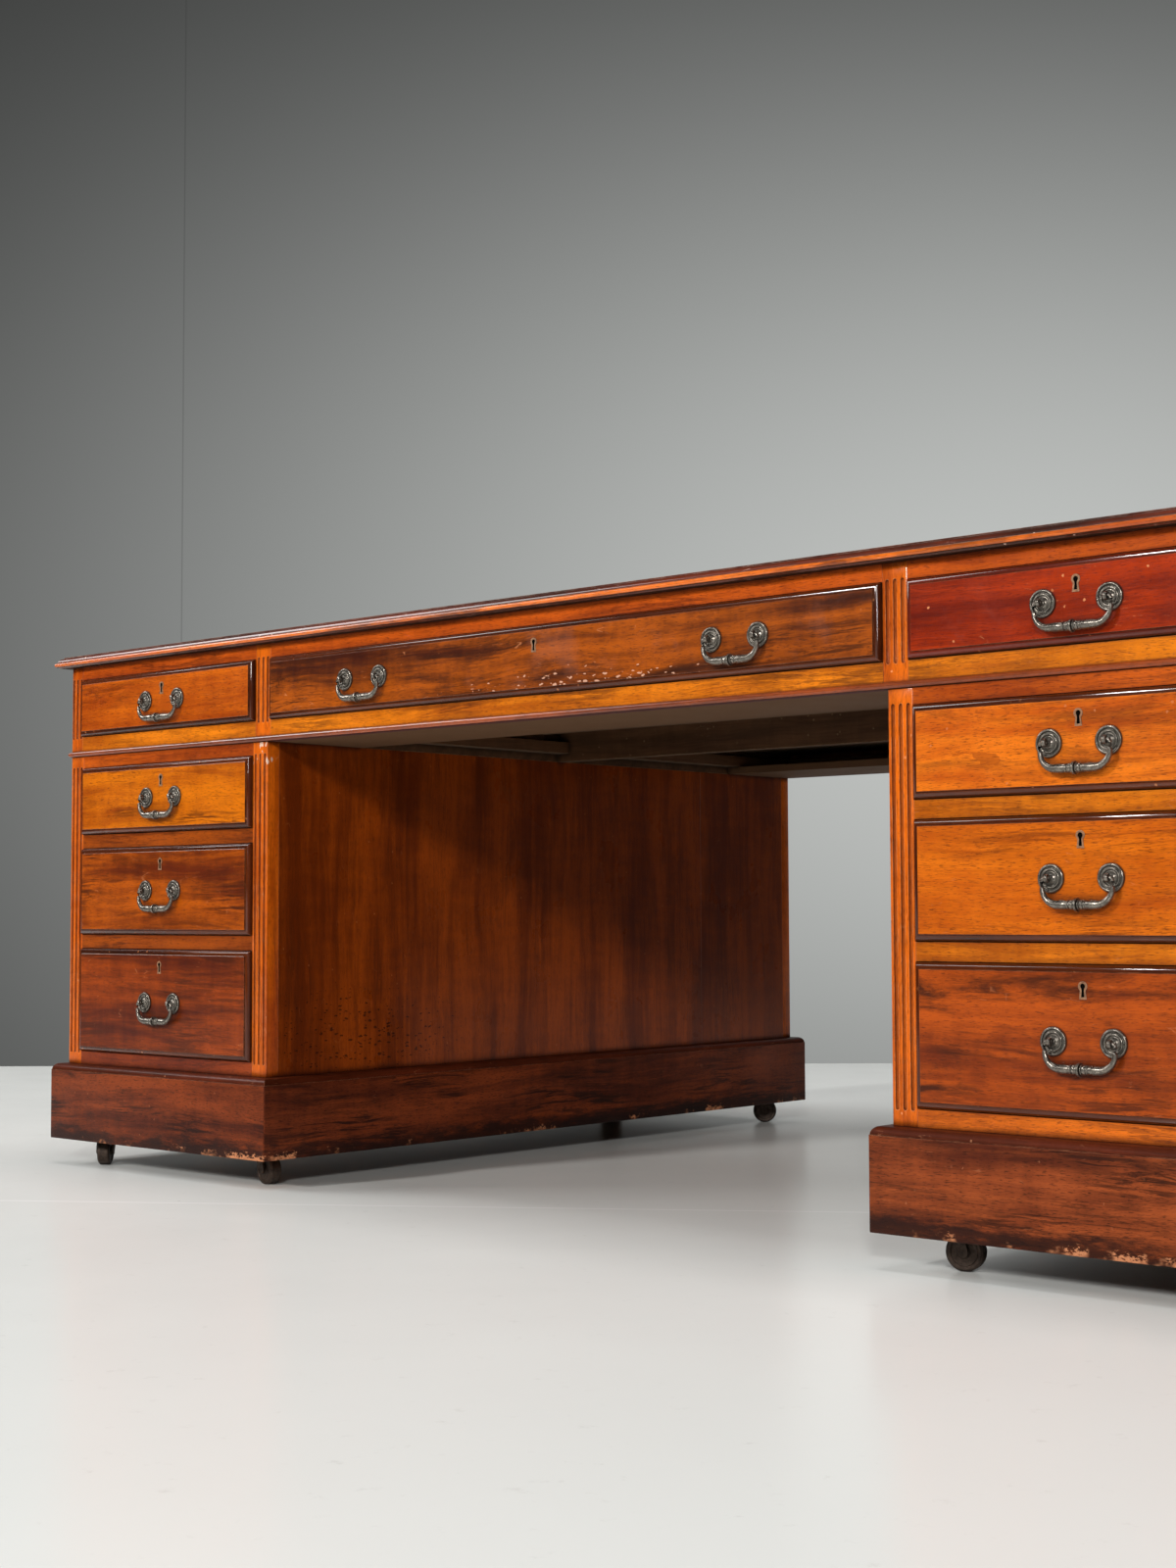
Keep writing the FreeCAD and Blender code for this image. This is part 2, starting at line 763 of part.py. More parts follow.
def make_casters():
    """Eight casters, one inside each corner of each plinth."""
    fork, wheel = caster_master()
    half = s.pedestal_width / 2 - s.caster_inset_side
    plates = []
    plate = board("caster_plate", (-s.caster_plate / 2, s.caster_plate / 2),
                  (-s.caster_plate / 2, s.caster_plate / 2), (caster_low, caster_top))
    for corner, angle in SWIVEL.items():
        side, place_x, place_y = corner.split("_")
        outward = -1 if side == "left" else 1
        x = outward * (pedestal_middle + (half if place_x == "outer" else -half))
        y = front_y + s.caster_inset_front
        if place_y == "rear":
            y = -y
        group(f"caster_fork_{corner}", fork, x, y, 0, angle)
        group(f"caster_wheel_{corner}", [wheel], x, y, 0, angle)
        plates.append(group(f"caster_plate_{corner}", [plate], x, y))
    group("caster_plates", plates)


# ---------------------------------------------------------------- handles

def rosette_master():
    """Back plate with the eye that holds one end of a bail; drawer face at Y = 0."""
    plate = prism("rosette_plate", ROSETTE_SIDES, s.rosette_radius, s.rosette_thickness,
                  (0, 0, 0), "-Y")
    r = s.eye_radius
    post = board("eye_post", (-s.eye_length / 2, s.eye_length / 2),
                 (-s.post_reach - r, -s.rosette_thickness), (-r, r))
    bore = s.bail_wire * OCTAGON_CORNER + s.running_clearance
    hole = prism("eye_hole", BAIL_SIDES, bore * OCTAGON_CORNER, s.eye_length * 2,
                 (-s.eye_length, -s.post_reach, 0), "X")
    return join("rosette", [plate, cut("eye_bored", post, hole)])


def bail_master(name, bore):
    """Swan-neck bail for one spacing of its eyes: pivot axis along X through the origin.

    The bar hangs between two arms that sweep outwards, rise and turn back in to the pins that
    swing in the eyes. A collar between two beads is turned on the middle of the bar.
    """
    wire = s.bail_wire
    mitre = wire * math.tan(math.pi / 8)
    arm = bore / 2 + s.bail_bulge
    low = arm - s.bail_bend
    high = s.bail_bulge - s.eye_length / 2 - mitre - s.bail_end_play
    pin = bore / 2 - s.eye_length / 2 - LAP
    drop = -s.bail_drop
    half = [
        (low + mitre, drop - wire), (arm + wire, drop + s.bail_bend - mitre),
        (arm + wire, mitre - high), (arm - high + mitre, wire), (pin, wire), (pin, -wire),
        (arm - high - mitre, -wire), (arm - wire, -high - mitre),
        (arm - wire, drop + s.bail_bend + mitre), (low - mitre, drop + wire),
    ]
    outline = half + [(-x, z) for x, z in reversed(half)]
    body = new_body(f"{name}_wire")
    sketch = sketch_on(body, f"{name}_outline", "XZ_Plane", [outline], -wire)
    bar = pad(body, sketch, wire * 2)
    chamfer = body.newObject("PartDesign::Chamfer", f"{name}_corners")
    chamfer.Base = (bar, facing(bar, "y", -1) + facing(bar, "y", 1))
    bind(chamfer, "Size", wire * (2 - math.sqrt(2)))
    doc.recompute()
    turned = s.bail_turned / 2
    bead = s.bail_bead * OCTAGON_CORNER
    collar = s.bail_collar * OCTAGON_CORNER
    beads = prism(f"{name}_beads", BAIL_SIDES, bead, s.bail_turned, (-turned, 0, drop), "X")
    disc = prism(f"{name}_collar", BAIL_SIDES, collar, s.collar_width,
                 (-s.collar_width / 2, 0, drop), "X")
    return join(name, [body, beads, disc])


def escutcheon_master():
    """Thin plate let into the wood round a keyhole, centred on the keyhole."""
    body = new_body("escutcheon")
    foot, head = s.keyhole_foot / 2, s.keyhole_head / 2
    low, high = -s.keyhole_below, s.keyhole_above
    rim = s.escutcheon_rim
    outer = [(-foot - rim, low - rim), (foot + rim, low - rim), (head + rim, high),
             (0, high + rim), (-head - rim, high)]
    hole = [(-foot, low), (foot, low), (head, high), (-head, high)]
    sketch = sketch_on(body, "escutcheon_outline", "XZ_Plane", [outer, hole])
    pad(body, sketch, s.escutcheon_thickness)
    return body


# ---------------------------------------------------------------- drawers

def drawer_front(name, width, height):
    """Drawer front with a raised field inside its bevel; carcass face at Y = 0, sill at Z = 0."""
    body = new_body(f"{name}_front")
    shoulder = s.front_proud - s.field_step
    x = (-width / 2, width / 2)
    block = sketch_on(body, f"{name}_block", "XZ_Plane", [rectangle(x, (0, height))],
                      -s.front_thickness)
    base = pad(body, block, s.front_thickness + shoulder)
    bevel = body.newObject("PartDesign::Chamfer", f"{name}_bevel")
    bevel.Base = (base, facing(base, "y", -1))
    bind(bevel, "Size", s.front_bevel)
    doc.recompute()
    inset = s.field_inset
    field = sketch_on(body, f"{name}_field", "XZ_Plane",
                      [rectangle((x[0] + inset, x[1] - inset), (inset, height - inset))],
                      shoulder - LAP)
    pad(body, field, s.field_step + LAP)
    return body


def drawer_master(name, width, height, bore, handles):
    """A whole drawer without its bails: carcass face at Y = 0, centred, sill at Z = 0."""
    front = drawer_front(name, width, height)
    out = width / 2 - s.side_play
    inner = out - s.drawer_side
    back = s.front_thickness
    under = s.runner_play - s.joint_gap
    side_top = height - s.field_inset
    pieces = [front]
    for label, sign in SIDES:
        pieces.append(board(f"{name}_side_{label}", ordered(sign, inner, out),
                            (back, drawer_depth), (under, side_top)))
    floor = (s.bottom_groove, s.bottom_groove + s.drawer_bottom)
    pieces.append(board(f"{name}_bottom", (-inner, inner), (back, drawer_depth - s.drawer_side),
                        floor))
    pieces.append(board(f"{name}_back", (-inner, inner),
                        (drawer_depth - s.drawer_side, drawer_depth), (floor[0], side_top)))
    lock_top = height - s.keyhole_depth + s.lock_height / 2
    pieces.append(board(f"{name}_lock", (-s.lock_width / 2, s.lock_width / 2),
                        (back, back + s.lock_thickness), (lock_top - s.lock_height, lock_top)))
    pieces.append(group(f"{name}_escutcheon", [escutcheon], 0, -s.front_proud,
                        height - s.keyhole_depth))
    for i, x in enumerate(handles):
        for label, sign in SIDES:
            pieces.append(group(f"{name}_rosette_{i}_{label}", [rosette], x + sign * bore / 2,
                                -s.front_proud, height / 2))
    return pieces


def make_drawers():
    """Nine drawers on the front and three in the frieze at the rear, each with its bails."""
    gap = s.joint_gap
    narrow, wide = s.narrow_bore, s.wide_bore
    side_width = end_stile_inner - stile_far - play
    side_x = (end_stile_inner + stile_far) / 2
    centre_width = stile_near * 2 - play
    side = drawer_master("frieze_side", side_width, frieze_drawer_height, wide, [measure(0)])
    offset = s.centre_handle_offset
    centre = drawer_master("frieze_centre", centre_width, frieze_drawer_height, narrow,
                           [-offset, offset])
    sill = frieze_open_low + gap
    mid = frieze_drawer_height / 2
    for where, turn, sign_y in (("frieze", 0.0, 1), ("rear_frieze", 180.0, -1)):
        face = sign_y * front_y
        hang = face - sign_y * (s.front_proud + s.post_reach)
        group(f"drawer_{where}_centre", centre, 0, face, sill, turn)
        for label, sign in SIDES:
            group(f"drawer_{where}_{label}", side, sign * side_x, face, sill, turn)
            group(f"bail_{where}_{label}", [wide_bail], sign * side_x, hang, sill + mid, turn)
            group(f"bail_{where}_centre_{label}", [narrow_bail], sign * offset, hang, sill + mid, turn)

    width = pedestal_open - play
    levels = (
        ("lower", lower_open, lower_drawer_height),
        ("middle", middle_open, s.middle_drawer_height),
        ("upper", upper_open, s.upper_drawer_height),
    )
    hang = front_y - s.front_proud - s.post_reach
    for level, base, height in levels:
        pieces = drawer_master(f"pedestal_{level}", width, height, narrow, [measure(0)])
        for label, sign in SIDES:
            x = sign * pedestal_middle
            group(f"drawer_{label}_{level}", pieces, x, front_y, base + gap)
            group(f"bail_{label}_{level}", [narrow_bail], x, hang, base + gap + height / 2)


# ---------------------------------------------------------------- cupboard doors

def make_doors():
    """Framed and panelled doors at the rear of the pedestals, hung at their outer edges."""
    opening = pedestal_open / 2
    low = lower_open + s.joint_gap
    high = upper_open_high - s.joint_gap
    face = rear_y
    pin_y = face + s.hinge_knuckle
    leaves = []
    for label, sign in SIDES:
        free = -opening + s.joint_gap
        hung = opening - s.hinge_gap
        back = face - s.door_thickness
        y = (back, face)
        frame = s.door_frame
        pieces = [
            board(f"door_{label}_stile_free", ordered(sign, free, free + frame), y, (low, high)),
            board(f"door_{label}_stile_hung", ordered(sign, hung - frame, hung), y, (low, high)),
        ]
        between = ordered(sign, free + frame, hung - frame)
        pieces.append(board(f"door_{label}_rail_low", between, y, (low, low + frame)))
        pieces.append(board(f"door_{label}_rail_high", between, y, (high - frame, high)))
        panel_face = face - s.door_panel_recess
        pieces.append(board(f"door_{label}_panel", between, (panel_face - s.door_panel, panel_face),
                            (low + frame, high - frame)))
        key_x = sign * (free + frame / 2)
        pieces.append(group(f"door_{label}_escutcheon", [escutcheon], key_x, face,
                            (low + high) / 2, 180.0))
        pieces.append(board(f"door_{label}_lock", ordered(sign, free, free + s.lock_height),
                            (back - s.lock_thickness, back),
                            ((low + high) / 2 - s.lock_width / 2, (low + high) / 2 + s.lock_width / 2)))
        pin_x = sign * (opening - s.hinge_gap / 2)
        for end, base in (("low", low + s.hinge_from_end),
                          ("high", high - s.hinge_from_end - s.hinge_length)):
            moving, fixed = butt_hinge(f"hinge_{label}_{end}", sign, opening, pin_x, pin_y, base)
            pieces.append(moving)
            leaves.append(group(f"{fixed.Name}_placed", [fixed], sign * pedestal_middle))
        group(f"door_{label}", pieces, sign * pedestal_middle)
    group("door_hinge_leaves", leaves)


def butt_hinge(name, sign, opening, pin_x, pin_y, base):
    """Moving leaf with its knuckle, and fixed leaf with the knuckles above and below it."""
    third = s.hinge_length / 3
    y = (rear_y - s.hinge_leaf_width, rear_y)
    leaves = []
    for end, edge, knuckles in (("door", opening - s.hinge_gap, [1]),
                                ("case", opening - s.hinge_leaf, [0, 2])):
        x = ordered(sign, edge, edge + s.hinge_leaf)
        pieces = [board(f"{name}_{end}_leaf", x, y, (base, base + s.hinge_length))]
        for i in knuckles:
            low = base + third * i + s.knuckle_gap
            high = base + third * (i + 1) - s.knuckle_gap
            pieces.append(board(f"{name}_{end}_tab_{i}", x, (rear_y - LAP, pin_y), (low, high)))
            pieces.append(prism(f"{name}_{end}_knuckle_{i}", KNUCKLE_SIDES, s.hinge_knuckle,
                                high - low, (pin_x, pin_y, low), "Z"))
        leaves.append(join(f"{name}_{end}", pieces))
    return leaves


# ---------------------------------------------------------------- build and write

NODES = (
    ["top_board", "top_edge_moulding", "writing_leather", "frieze_end_panels", "frieze_rails",
     "frieze_fluted_stiles", "frieze_partitions", "frieze_bead_moulding", "drawer_runners",
     "pedestal_side_panels", "pedestal_fluted_stiles", "pedestal_rails", "pedestal_inner_boards",
     "plinths", "caster_plates", "door_hinge_leaves"]
    + [f"{part}_{where}_{label}" for part in ("drawer", "bail")
       for where in ("frieze", "rear_frieze") for label in ("left", "right")]
    + [f"drawer_{where}_centre" for where in ("frieze", "rear_frieze")]
    + [f"bail_{where}_centre_{label}" for where in ("frieze", "rear_frieze")
       for label in ("left", "right")]
    + [f"{part}_{label}_{level}" for part in ("drawer", "bail")
       for label in ("left", "right") for level in ("lower", "middle", "upper")]
    + ["door_left", "door_right"]
    + [f"caster_{part}_{corner}" for part in ("fork", "wheel") for corner in SWIVEL]
)


def check_and_write():
    """Stop on any failed object, then write one STEP file for each node."""
    doc.recompute()
    for thing in doc.Objects:
        if "Invalid" in thing.State or "Error" in thing.State:
            raise RuntimeError(f"{thing.Name} failed: {thing.State}")
        if thing.TypeId == "Sketcher::SketchObject" and thing.solve() != 0:
            raise RuntimeError(f"{thing.Name} does not solve")
    os.makedirs("parts", exist_ok=True)
    for name in NODES:
        thing = doc.getObject(name)
        if thing.Shape.isNull() or not thing.Shape.isValid() or not thing.Shape.Solids:
            raise RuntimeError(f"{name} has no valid solid")
        thing.Label = name
        thing.Shape.exportStep(os.path.join("parts", f"{name}.step"))
    print(len(NODES), "nodes,", sum(len(doc.getObject(n).Shape.Solids) for n in NODES), "solids")


make_top()
make_frieze()
make_pedestals()
make_runners()
make_plinths()
make_casters()
rosette = rosette_master()
escutcheon = escutcheon_master()
narrow_bail = bail_master("narrow_bail", s.narrow_bore)
wide_bail = bail_master("wide_bail", s.wide_bore)
make_drawers()
make_doors()
check_and_write()
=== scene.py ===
"""Dressing of a partners desk: mouldings, drawers, handles, doors, casters and every finish.

Sizes are millimetres in the frame of the desk: X to the right of someone facing the drawers,
Y towards the cupboards, Z up from the floor. Meshes are scaled to metres when they are finished.
"""

import json
import logging
import math
from dataclasses import dataclass, replace
from enum import Enum

import bmesh
import bpy
from mathutils import Matrix, Vector


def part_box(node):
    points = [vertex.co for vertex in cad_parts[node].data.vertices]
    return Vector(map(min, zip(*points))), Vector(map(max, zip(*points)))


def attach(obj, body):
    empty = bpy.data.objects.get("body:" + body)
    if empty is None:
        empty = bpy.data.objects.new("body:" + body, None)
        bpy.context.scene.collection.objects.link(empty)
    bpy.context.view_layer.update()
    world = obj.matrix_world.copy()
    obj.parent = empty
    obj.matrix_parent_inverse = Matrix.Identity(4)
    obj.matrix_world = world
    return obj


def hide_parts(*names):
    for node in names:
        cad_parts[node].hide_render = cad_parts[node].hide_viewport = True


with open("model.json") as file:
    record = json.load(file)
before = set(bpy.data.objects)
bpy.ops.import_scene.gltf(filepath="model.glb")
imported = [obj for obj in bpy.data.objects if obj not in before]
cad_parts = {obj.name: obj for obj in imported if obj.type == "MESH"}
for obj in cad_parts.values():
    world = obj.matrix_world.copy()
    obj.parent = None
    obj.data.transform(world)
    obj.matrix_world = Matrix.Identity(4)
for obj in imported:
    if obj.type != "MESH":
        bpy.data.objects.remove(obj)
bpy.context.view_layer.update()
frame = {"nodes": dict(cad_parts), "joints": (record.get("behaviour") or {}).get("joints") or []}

LOG = logging.getLogger("partners_desk")
MM = 0.001
WELD = 0.001
SMOOTH_ANGLE = math.radians(32.0)
QUARTER = math.pi / 2
SIDES = (-1, 1)
DESK = "desk_body"
JOINTS = {joint["child"]: joint for joint in frame["joints"]}

Colour = tuple[float, float, float]
Triple = tuple[float, float, float]
Profile = list[tuple[float, float]]
Shape = bmesh.types.BMesh
Vert = bmesh.types.BMVert
Edge = bmesh.types.BMEdge
Face = bmesh.types.BMFace
Node = bpy.types.Node
Socket = bpy.types.NodeSocket
Sockets = bpy.types.NodeOutputs


# ---------------------------------------------------------------- shader graphs

class Graph:
    """A node tree that is being wired."""

    def __init__(self, tree: bpy.types.NodeTree) -> None:
        """Take over an empty tree."""
        self.tree = tree

    def add(self, kind: str, inputs: dict | None = None, **settings: object) -> Node:
        """Add a node.

        Args:
            kind: the node's type.
            inputs: a value or a socket for each input, by its name or place.
            settings: the node's own properties.

        Returns:
            The new node.
        """
        node = self.tree.nodes.new(kind)
        for name, value in settings.items():
            setattr(node, name, value)
        for key, value in (inputs or {}).items():
            socket = node.inputs[key]
            if isinstance(value, Socket):
                self.tree.links.new(value, socket)
            else:
                socket.default_value = (*value, 1.0) if socket.type == "RGBA" else value
        return node

    def maths(self, operation: str, a: object, b: object = 0.0, c: object = 0.0) -> Socket:
        """Combine numbers, clamped to the span from 0 to 1."""
        return self.add("ShaderNodeMath", {0: a, 1: b, 2: c}, operation=operation,
                        use_clamp=True).outputs[0]

    def times(self, a: object, b: object) -> Socket:
        """Multiply two masks."""
        return self.maths("MULTIPLY", a, b)

    def within(self, value: Socket, middle: float, reach: float) -> Socket:
        """Mask of the values no farther than a reach from the middle."""
        return self.add("ShaderNodeMath", {0: value, 1: middle, 2: reach},
                        operation="COMPARE").outputs[0]

    def vector(self, operation: str, *terms: object) -> Sockets:
        """Combine vectors."""
        return self.add("ShaderNodeVectorMath", dict(enumerate(terms)), operation=operation).outputs

    def axis(self, vector: Socket, name: str) -> Socket:
        """One coordinate of a vector."""
        return self.add("ShaderNodeSeparateXYZ", {"Vector": vector}).outputs[name]

    def place(self) -> Socket:
        """The place on the desk, in metres."""
        return self.add("ShaderNodeTexCoord").outputs["Object"]

    def noise(self, vector: object, scale: float, detail: float = 3.0, roughness: float = 0.5,
              distortion: float = 0.0) -> Socket:
        """Smooth noise from 0 to 1."""
        inputs = {"Vector": vector, "Scale": scale, "Detail": detail, "Roughness": roughness,
                  "Distortion": distortion}
        return self.add("ShaderNodeTexNoise", inputs).outputs["Fac"]

    def drawn(self, vector: Socket, scales: Triple, *character: float) -> Socket:
        """Noise drawn out by a scale for each axis, of a detail, roughness and distortion."""
        return self.noise(self.vector("MULTIPLY", vector, scales)[0], 1.0, *character)

    def fibres(self, vector: Socket, along: float, across: float, *character: float) -> Socket:
        """Noise drawn out along X, by a scale along the fibres and one across them."""
        return self.drawn(vector, (along, across, across), *character)

    def cells(self, vector: Socket, scale: float, feature: str = "F1") -> Sockets:
        """Scattered cells."""
        return self.add("ShaderNodeTexVoronoi", {"Vector": vector, "Scale": scale},
                        feature=feature).outputs

    def between(self, value: object, low: float, high: float) -> Socket:
        """Mask that rises smoothly from 0 at low to 1 at high, or falls if low is the higher."""
        inputs = {"Value": value, "From Min": low, "From Max": high}
        return self.add("ShaderNodeMapRange", inputs,
                        interpolation_type="SMOOTHSTEP").outputs["Result"]

    def span(self, value: object, low: float, high: float) -> Socket:
        """Spread a mask from 0 to 1 over a span of numbers."""
        inputs = {"Value": value, "To Min": low, "To Max": high}
        return self.add("ShaderNodeMapRange", inputs).outputs["Result"]

    def blend(self, mask: object, first: object, second: object, kind: str = "MIX") -> Socket:
        """Mix two colours by a mask."""
        return self.add("ShaderNodeMix", {0: mask, 6: first, 7: second}, data_type="RGBA",
                        blend_type=kind).outputs[2]

    def stain(self, colour: object, mask: Socket, share: float, tint: object) -> Socket:
        """Lay a share of a tint over a colour where a mask says."""
        return self.blend(self.times(mask, share), colour, tint)

    def bump(self, height: Socket, strength: float, **inputs: object) -> Socket:
        """Normal that a height raises; inputs are the bump's others."""
        inputs.update(Height=height, Strength=strength)
        return self.add("ShaderNodeBump", inputs).outputs[0]


class Effect:
    """A shader node group, built once and placed in many materials.

    Its sockets called Vector and Normal are vectors, and the others are numbers.
    """

    inputs: dict[str, float | None] = {"Vector": None}
    outputs: tuple[str, ...] = ("Mask",)
    built: dict[str, bpy.types.NodeTree] = {}

    @classmethod
    def group(cls) -> bpy.types.NodeTree:
        """Build the node group at its first use.

        Returns:
            The node group.
        """
        if cls.__name__ not in Effect.built:
            tree = bpy.data.node_groups.new(cls.__name__, "ShaderNodeTree")
            for way, names in (("INPUT", cls.inputs), ("OUTPUT", cls.outputs)):
                for name in names:
                    kind = "NodeSocketVector" if name in ("Vector", "Normal") else "NodeSocketFloat"
                    socket = tree.interface.new_socket(name, in_out=way, socket_type=kind)
                    if way == "INPUT" and names[name] is not None:
                        socket.default_value = names[name]
            graph = Graph(tree)
            results = cls.wire(graph, graph.add("NodeGroupInput").outputs)
            graph.add("NodeGroupOutput", dict(zip(cls.outputs, results)))
            Effect.built[cls.__name__] = tree
        return Effect.built[cls.__name__]

    @classmethod
    def placed(cls, graph: Graph, **values: object) -> Sockets:
        """Add the group to a graph, with its inputs; return its outputs."""
        return graph.add("ShaderNodeGroup", values, node_tree=cls.group()).outputs


class WoodFigure(Effect):
    """Figure of a board whose fibres run along the X of its vector, in metres."""

    inputs = {"Vector": None, "Waviness": 0.02}
    outputs = ("Tone", "Streak", "Line", "Pore", "Cloud")

    @classmethod
    def wire(cls, graph: Graph, given: Sockets) -> list[Socket]:
        """Wire the figure.

        Args:
            graph: the group's graph.
            given: the group's inputs.

        Returns:
            Broad tone, dark streaks, fine lines, pores and smoky clouds, each from 0 to 1.
        """
        straight = given["Vector"]
        drawn = graph.vector("MULTIPLY", straight, (3.4, 7.0, 7.0))[0]
        sway = graph.add("ShaderNodeTexNoise", {"Vector": drawn, "Scale": 1.0, "Detail": 3.0})
        centred = graph.vector("SUBTRACT", sway.outputs["Color"], (0.5, 0.5, 0.5))[0]
        swayed = graph.add("ShaderNodeVectorMath", {0: centred, "Scale": given["Waviness"]},
                           operation="SCALE")
        bent = graph.vector("ADD", straight, swayed.outputs[0])[0]
        broad = graph.fibres(bent, 2.2, 15.0, 3.0, 0.55)
        bands = graph.fibres(bent, 4.2, 75.0, 6.0, 0.66, 0.4)
        mottle = graph.fibres(bent, 46.0, 13.0, 3.0, 0.6)
        mixed = graph.maths("MULTIPLY_ADD", broad, 0.52, graph.times(bands, 0.40))
        tone = graph.maths("MULTIPLY_ADD", mottle, 0.14, mixed)
        where = graph.between(graph.fibres(bent, 4.4, 19.0, 3.0), 0.42, 0.64)
        streaks = graph.fibres(bent, 8.0, 170.0, 6.0, 0.70, 0.6)
        streak = graph.times(graph.between(streaks, 0.47, 0.58), where)
        line = graph.fibres(bent, 17.0, 640.0, 4.0, 0.66)
        pores = graph.fibres(bent, 110.0, 1250.0, 2.0)
        smoke = graph.fibres(bent, 4.6, 26.0, 6.0, 0.68, 0.5)
        return [graph.between(tone, 0.38, 0.66), streak, line, graph.between(pores, 0.56, 0.66),
                graph.between(smoke, 0.50, 0.68)]


class EdgeWear(Effect):
    """Where hands and cloths have rubbed the polish off a corner."""

    inputs = {"Vector": None, "Reach": 0.0014}
    outputs = ("Mask", "Normal")

    @classmethod
    def wire(cls, graph: Graph, given: Sockets) -> list[Socket]:
        """Wire the wear.

        Args:
            graph: the group's graph.
            given: the group's inputs.

        Returns:
            A mask of the rubbed corners, and a normal that rounds them.
        """
        soft = graph.add("ShaderNodeBevel", {"Radius": given["Reach"]}, samples=6).outputs[0]
        own = graph.add("ShaderNodeNewGeometry").outputs["Normal"]
        turned = graph.between(graph.vector("DOT_PRODUCT", soft, own)["Value"], 0.985, 0.80)
        patchy = graph.between(graph.noise(given["Vector"], 46.0, 5.0, 0.65), 0.36, 0.62)
        return [graph.times(turned, patchy), soft]


class Grime(Effect):
    """Dark wax and dust in the hollows, with painted shade: ambient occlusion darkens every hollow
    and gap.
    """

    inputs = {"Vector": None, "Depth": 0.012}

    @classmethod
    def wire(cls, graph: Graph, given: Sockets) -> list[Socket]:
        """Wire the grime.

        Args:
            graph: the group's graph.
            given: the group's inputs.

        Returns:
            A mask of the hollows.
        """
        # Painted shade: ambient occlusion darkens each hollow and gap, for wax and dust and for the
        # shade that falls there.
        open_to = graph.add("ShaderNodeAmbientOcclusion", {"Distance": given["Depth"]}, samples=6)
        hollow = graph.between(open_to.outputs["AO"], 0.88, 0.48)
        patchy = graph.span(graph.noise(given["Vector"], 30.0, 4.0, 0.6), 0.6, 1.25)
        return [graph.times(hollow, patchy)]


class Underside(Effect):
    """Faces that look down: bare wood on the case's boards and rails, painted shade on the polished
    mahogany.
    """

    inputs = {}

    @classmethod
    def wire(cls, graph: Graph, given: Sockets) -> list[Socket]:
        """Wire the mask.

        Args:
            graph: the group's graph.
            given: the group's inputs, of which there are none.

        Returns:
            A mask of the faces that look down.
        """
        normal = graph.add("ShaderNodeNewGeometry").outputs["True Normal"]
        return [graph.between(graph.axis(normal, "Z"), -0.75, -0.95)]


class Scuffs(Effect):
    """Dirt and bare wood along the foot of a board that shoes and brooms have knocked."""

    inputs = {"Vector": None, "Foot": 0.040}
    outputs = ("Dirt", "Bare")

    @classmethod
    def wire(cls, graph: Graph, given: Sockets) -> list[Socket]:
        """Wire the scuffs.

        Args:
            graph: the group's graph.
            given: the group's inputs.

        Returns:
            A mask of the soil near the foot, and one of the wood that shows bare.
        """
        place = given["Vector"]
        above = graph.add("ShaderNodeMath", {0: graph.axis(place, "Z"), 1: given["Foot"]},
                          operation="SUBTRACT").outputs[0]
        ragged = graph.drawn(place, (26.0, 26.0, 90.0), 7.0, 0.74)
        spread = graph.noise(place, 4.2, 3.0, 0.6)
        low = graph.between(above, 0.048, 0.000)
        reach = graph.maths("MULTIPLY_ADD", low, 0.34, graph.times(spread, 0.42))
        dirt = graph.between(graph.maths("MULTIPLY_ADD", ragged, 0.62, reach), 0.66, 0.86)
        flaked = graph.drawn(place, (120.0, 120.0, 260.0), 5.0, 0.72)
        patches = graph.between(graph.noise(place, 13.0, 4.0, 0.7), 0.50, 0.60)
        edge = graph.between(above, 0.014, 0.000)
        bare = graph.between(graph.maths("MULTIPLY_ADD", edge, 0.20, flaked), 0.60, 0.67)
        return [dirt, graph.times(graph.times(bare, patches), graph.between(above, 0.015, 0.010))]


class Knocks(Effect):
    """Fine scratches and small chips in old polish."""

    outputs = ("Scratch", "Chip")

    @classmethod
    def wire(cls, graph: Graph, given: Sockets) -> list[Socket]:
        """Wire the knocks.

        Args:
            graph: the group's graph.
            given: the group's inputs.

        Returns:
            A mask of the scratches and one of the chips.
        """
        place = given["Vector"]
        lean = graph.add("ShaderNodeMapping", {"Vector": place, "Rotation": (0.6, 0.9, 0.5),
                                               "Scale": (20.0, 90.0, 90.0)}).outputs[0]
        cracks = graph.between(graph.cells(lean, 1.0, "DISTANCE_TO_EDGE")["Distance"], 0.030, 0.010)
        rare = graph.between(graph.noise(place, 38.0, 4.0, 0.6), 0.60, 0.70)
        spots = graph.cells(place, 85.0)
        size = graph.maths("MULTIPLY_ADD", graph.noise(place, 900.0, 2.0), 0.22, 0.02)
        inside = graph.maths("LESS_THAN", spots["Distance"], size)
        few = graph.between(spots["Color"], 0.82, 0.86)
        return [graph.times(cracks, rare), graph.times(inside, few)]


# ---------------------------------------------------------------- finishes

class Grain(Enum):
    """The way a board's fibres run, as the turn that brings it round to X."""

    ALONG_X = (0.0, 0.0, 0.0)
    ALONG_Y = (0.0, 0.0, -QUARTER)
    ALONG_Z = (0.0, QUARTER, 0.0)


class Finish:
    """What a surface is finished with."""

    made: dict[str, bpy.types.Material] = {}

    def material(self) -> bpy.types.Material:
        """Wire the material at its first use.

        Returns:
            The material.
        """
        if self.title not in Finish.made:
            material = bpy.data.materials.new(self.title)
            material.use_nodes = True
            material.node_tree.nodes.clear()
            graph = Graph(material.node_tree)
            graph.add("ShaderNodeOutputMaterial", {"Surface": self.wire(graph).outputs[0]})
            Finish.made[self.title] = material
        return Finish.made[self.title]

    @property
    def title(self) -> str:
        """Name of the material."""
        return self.name


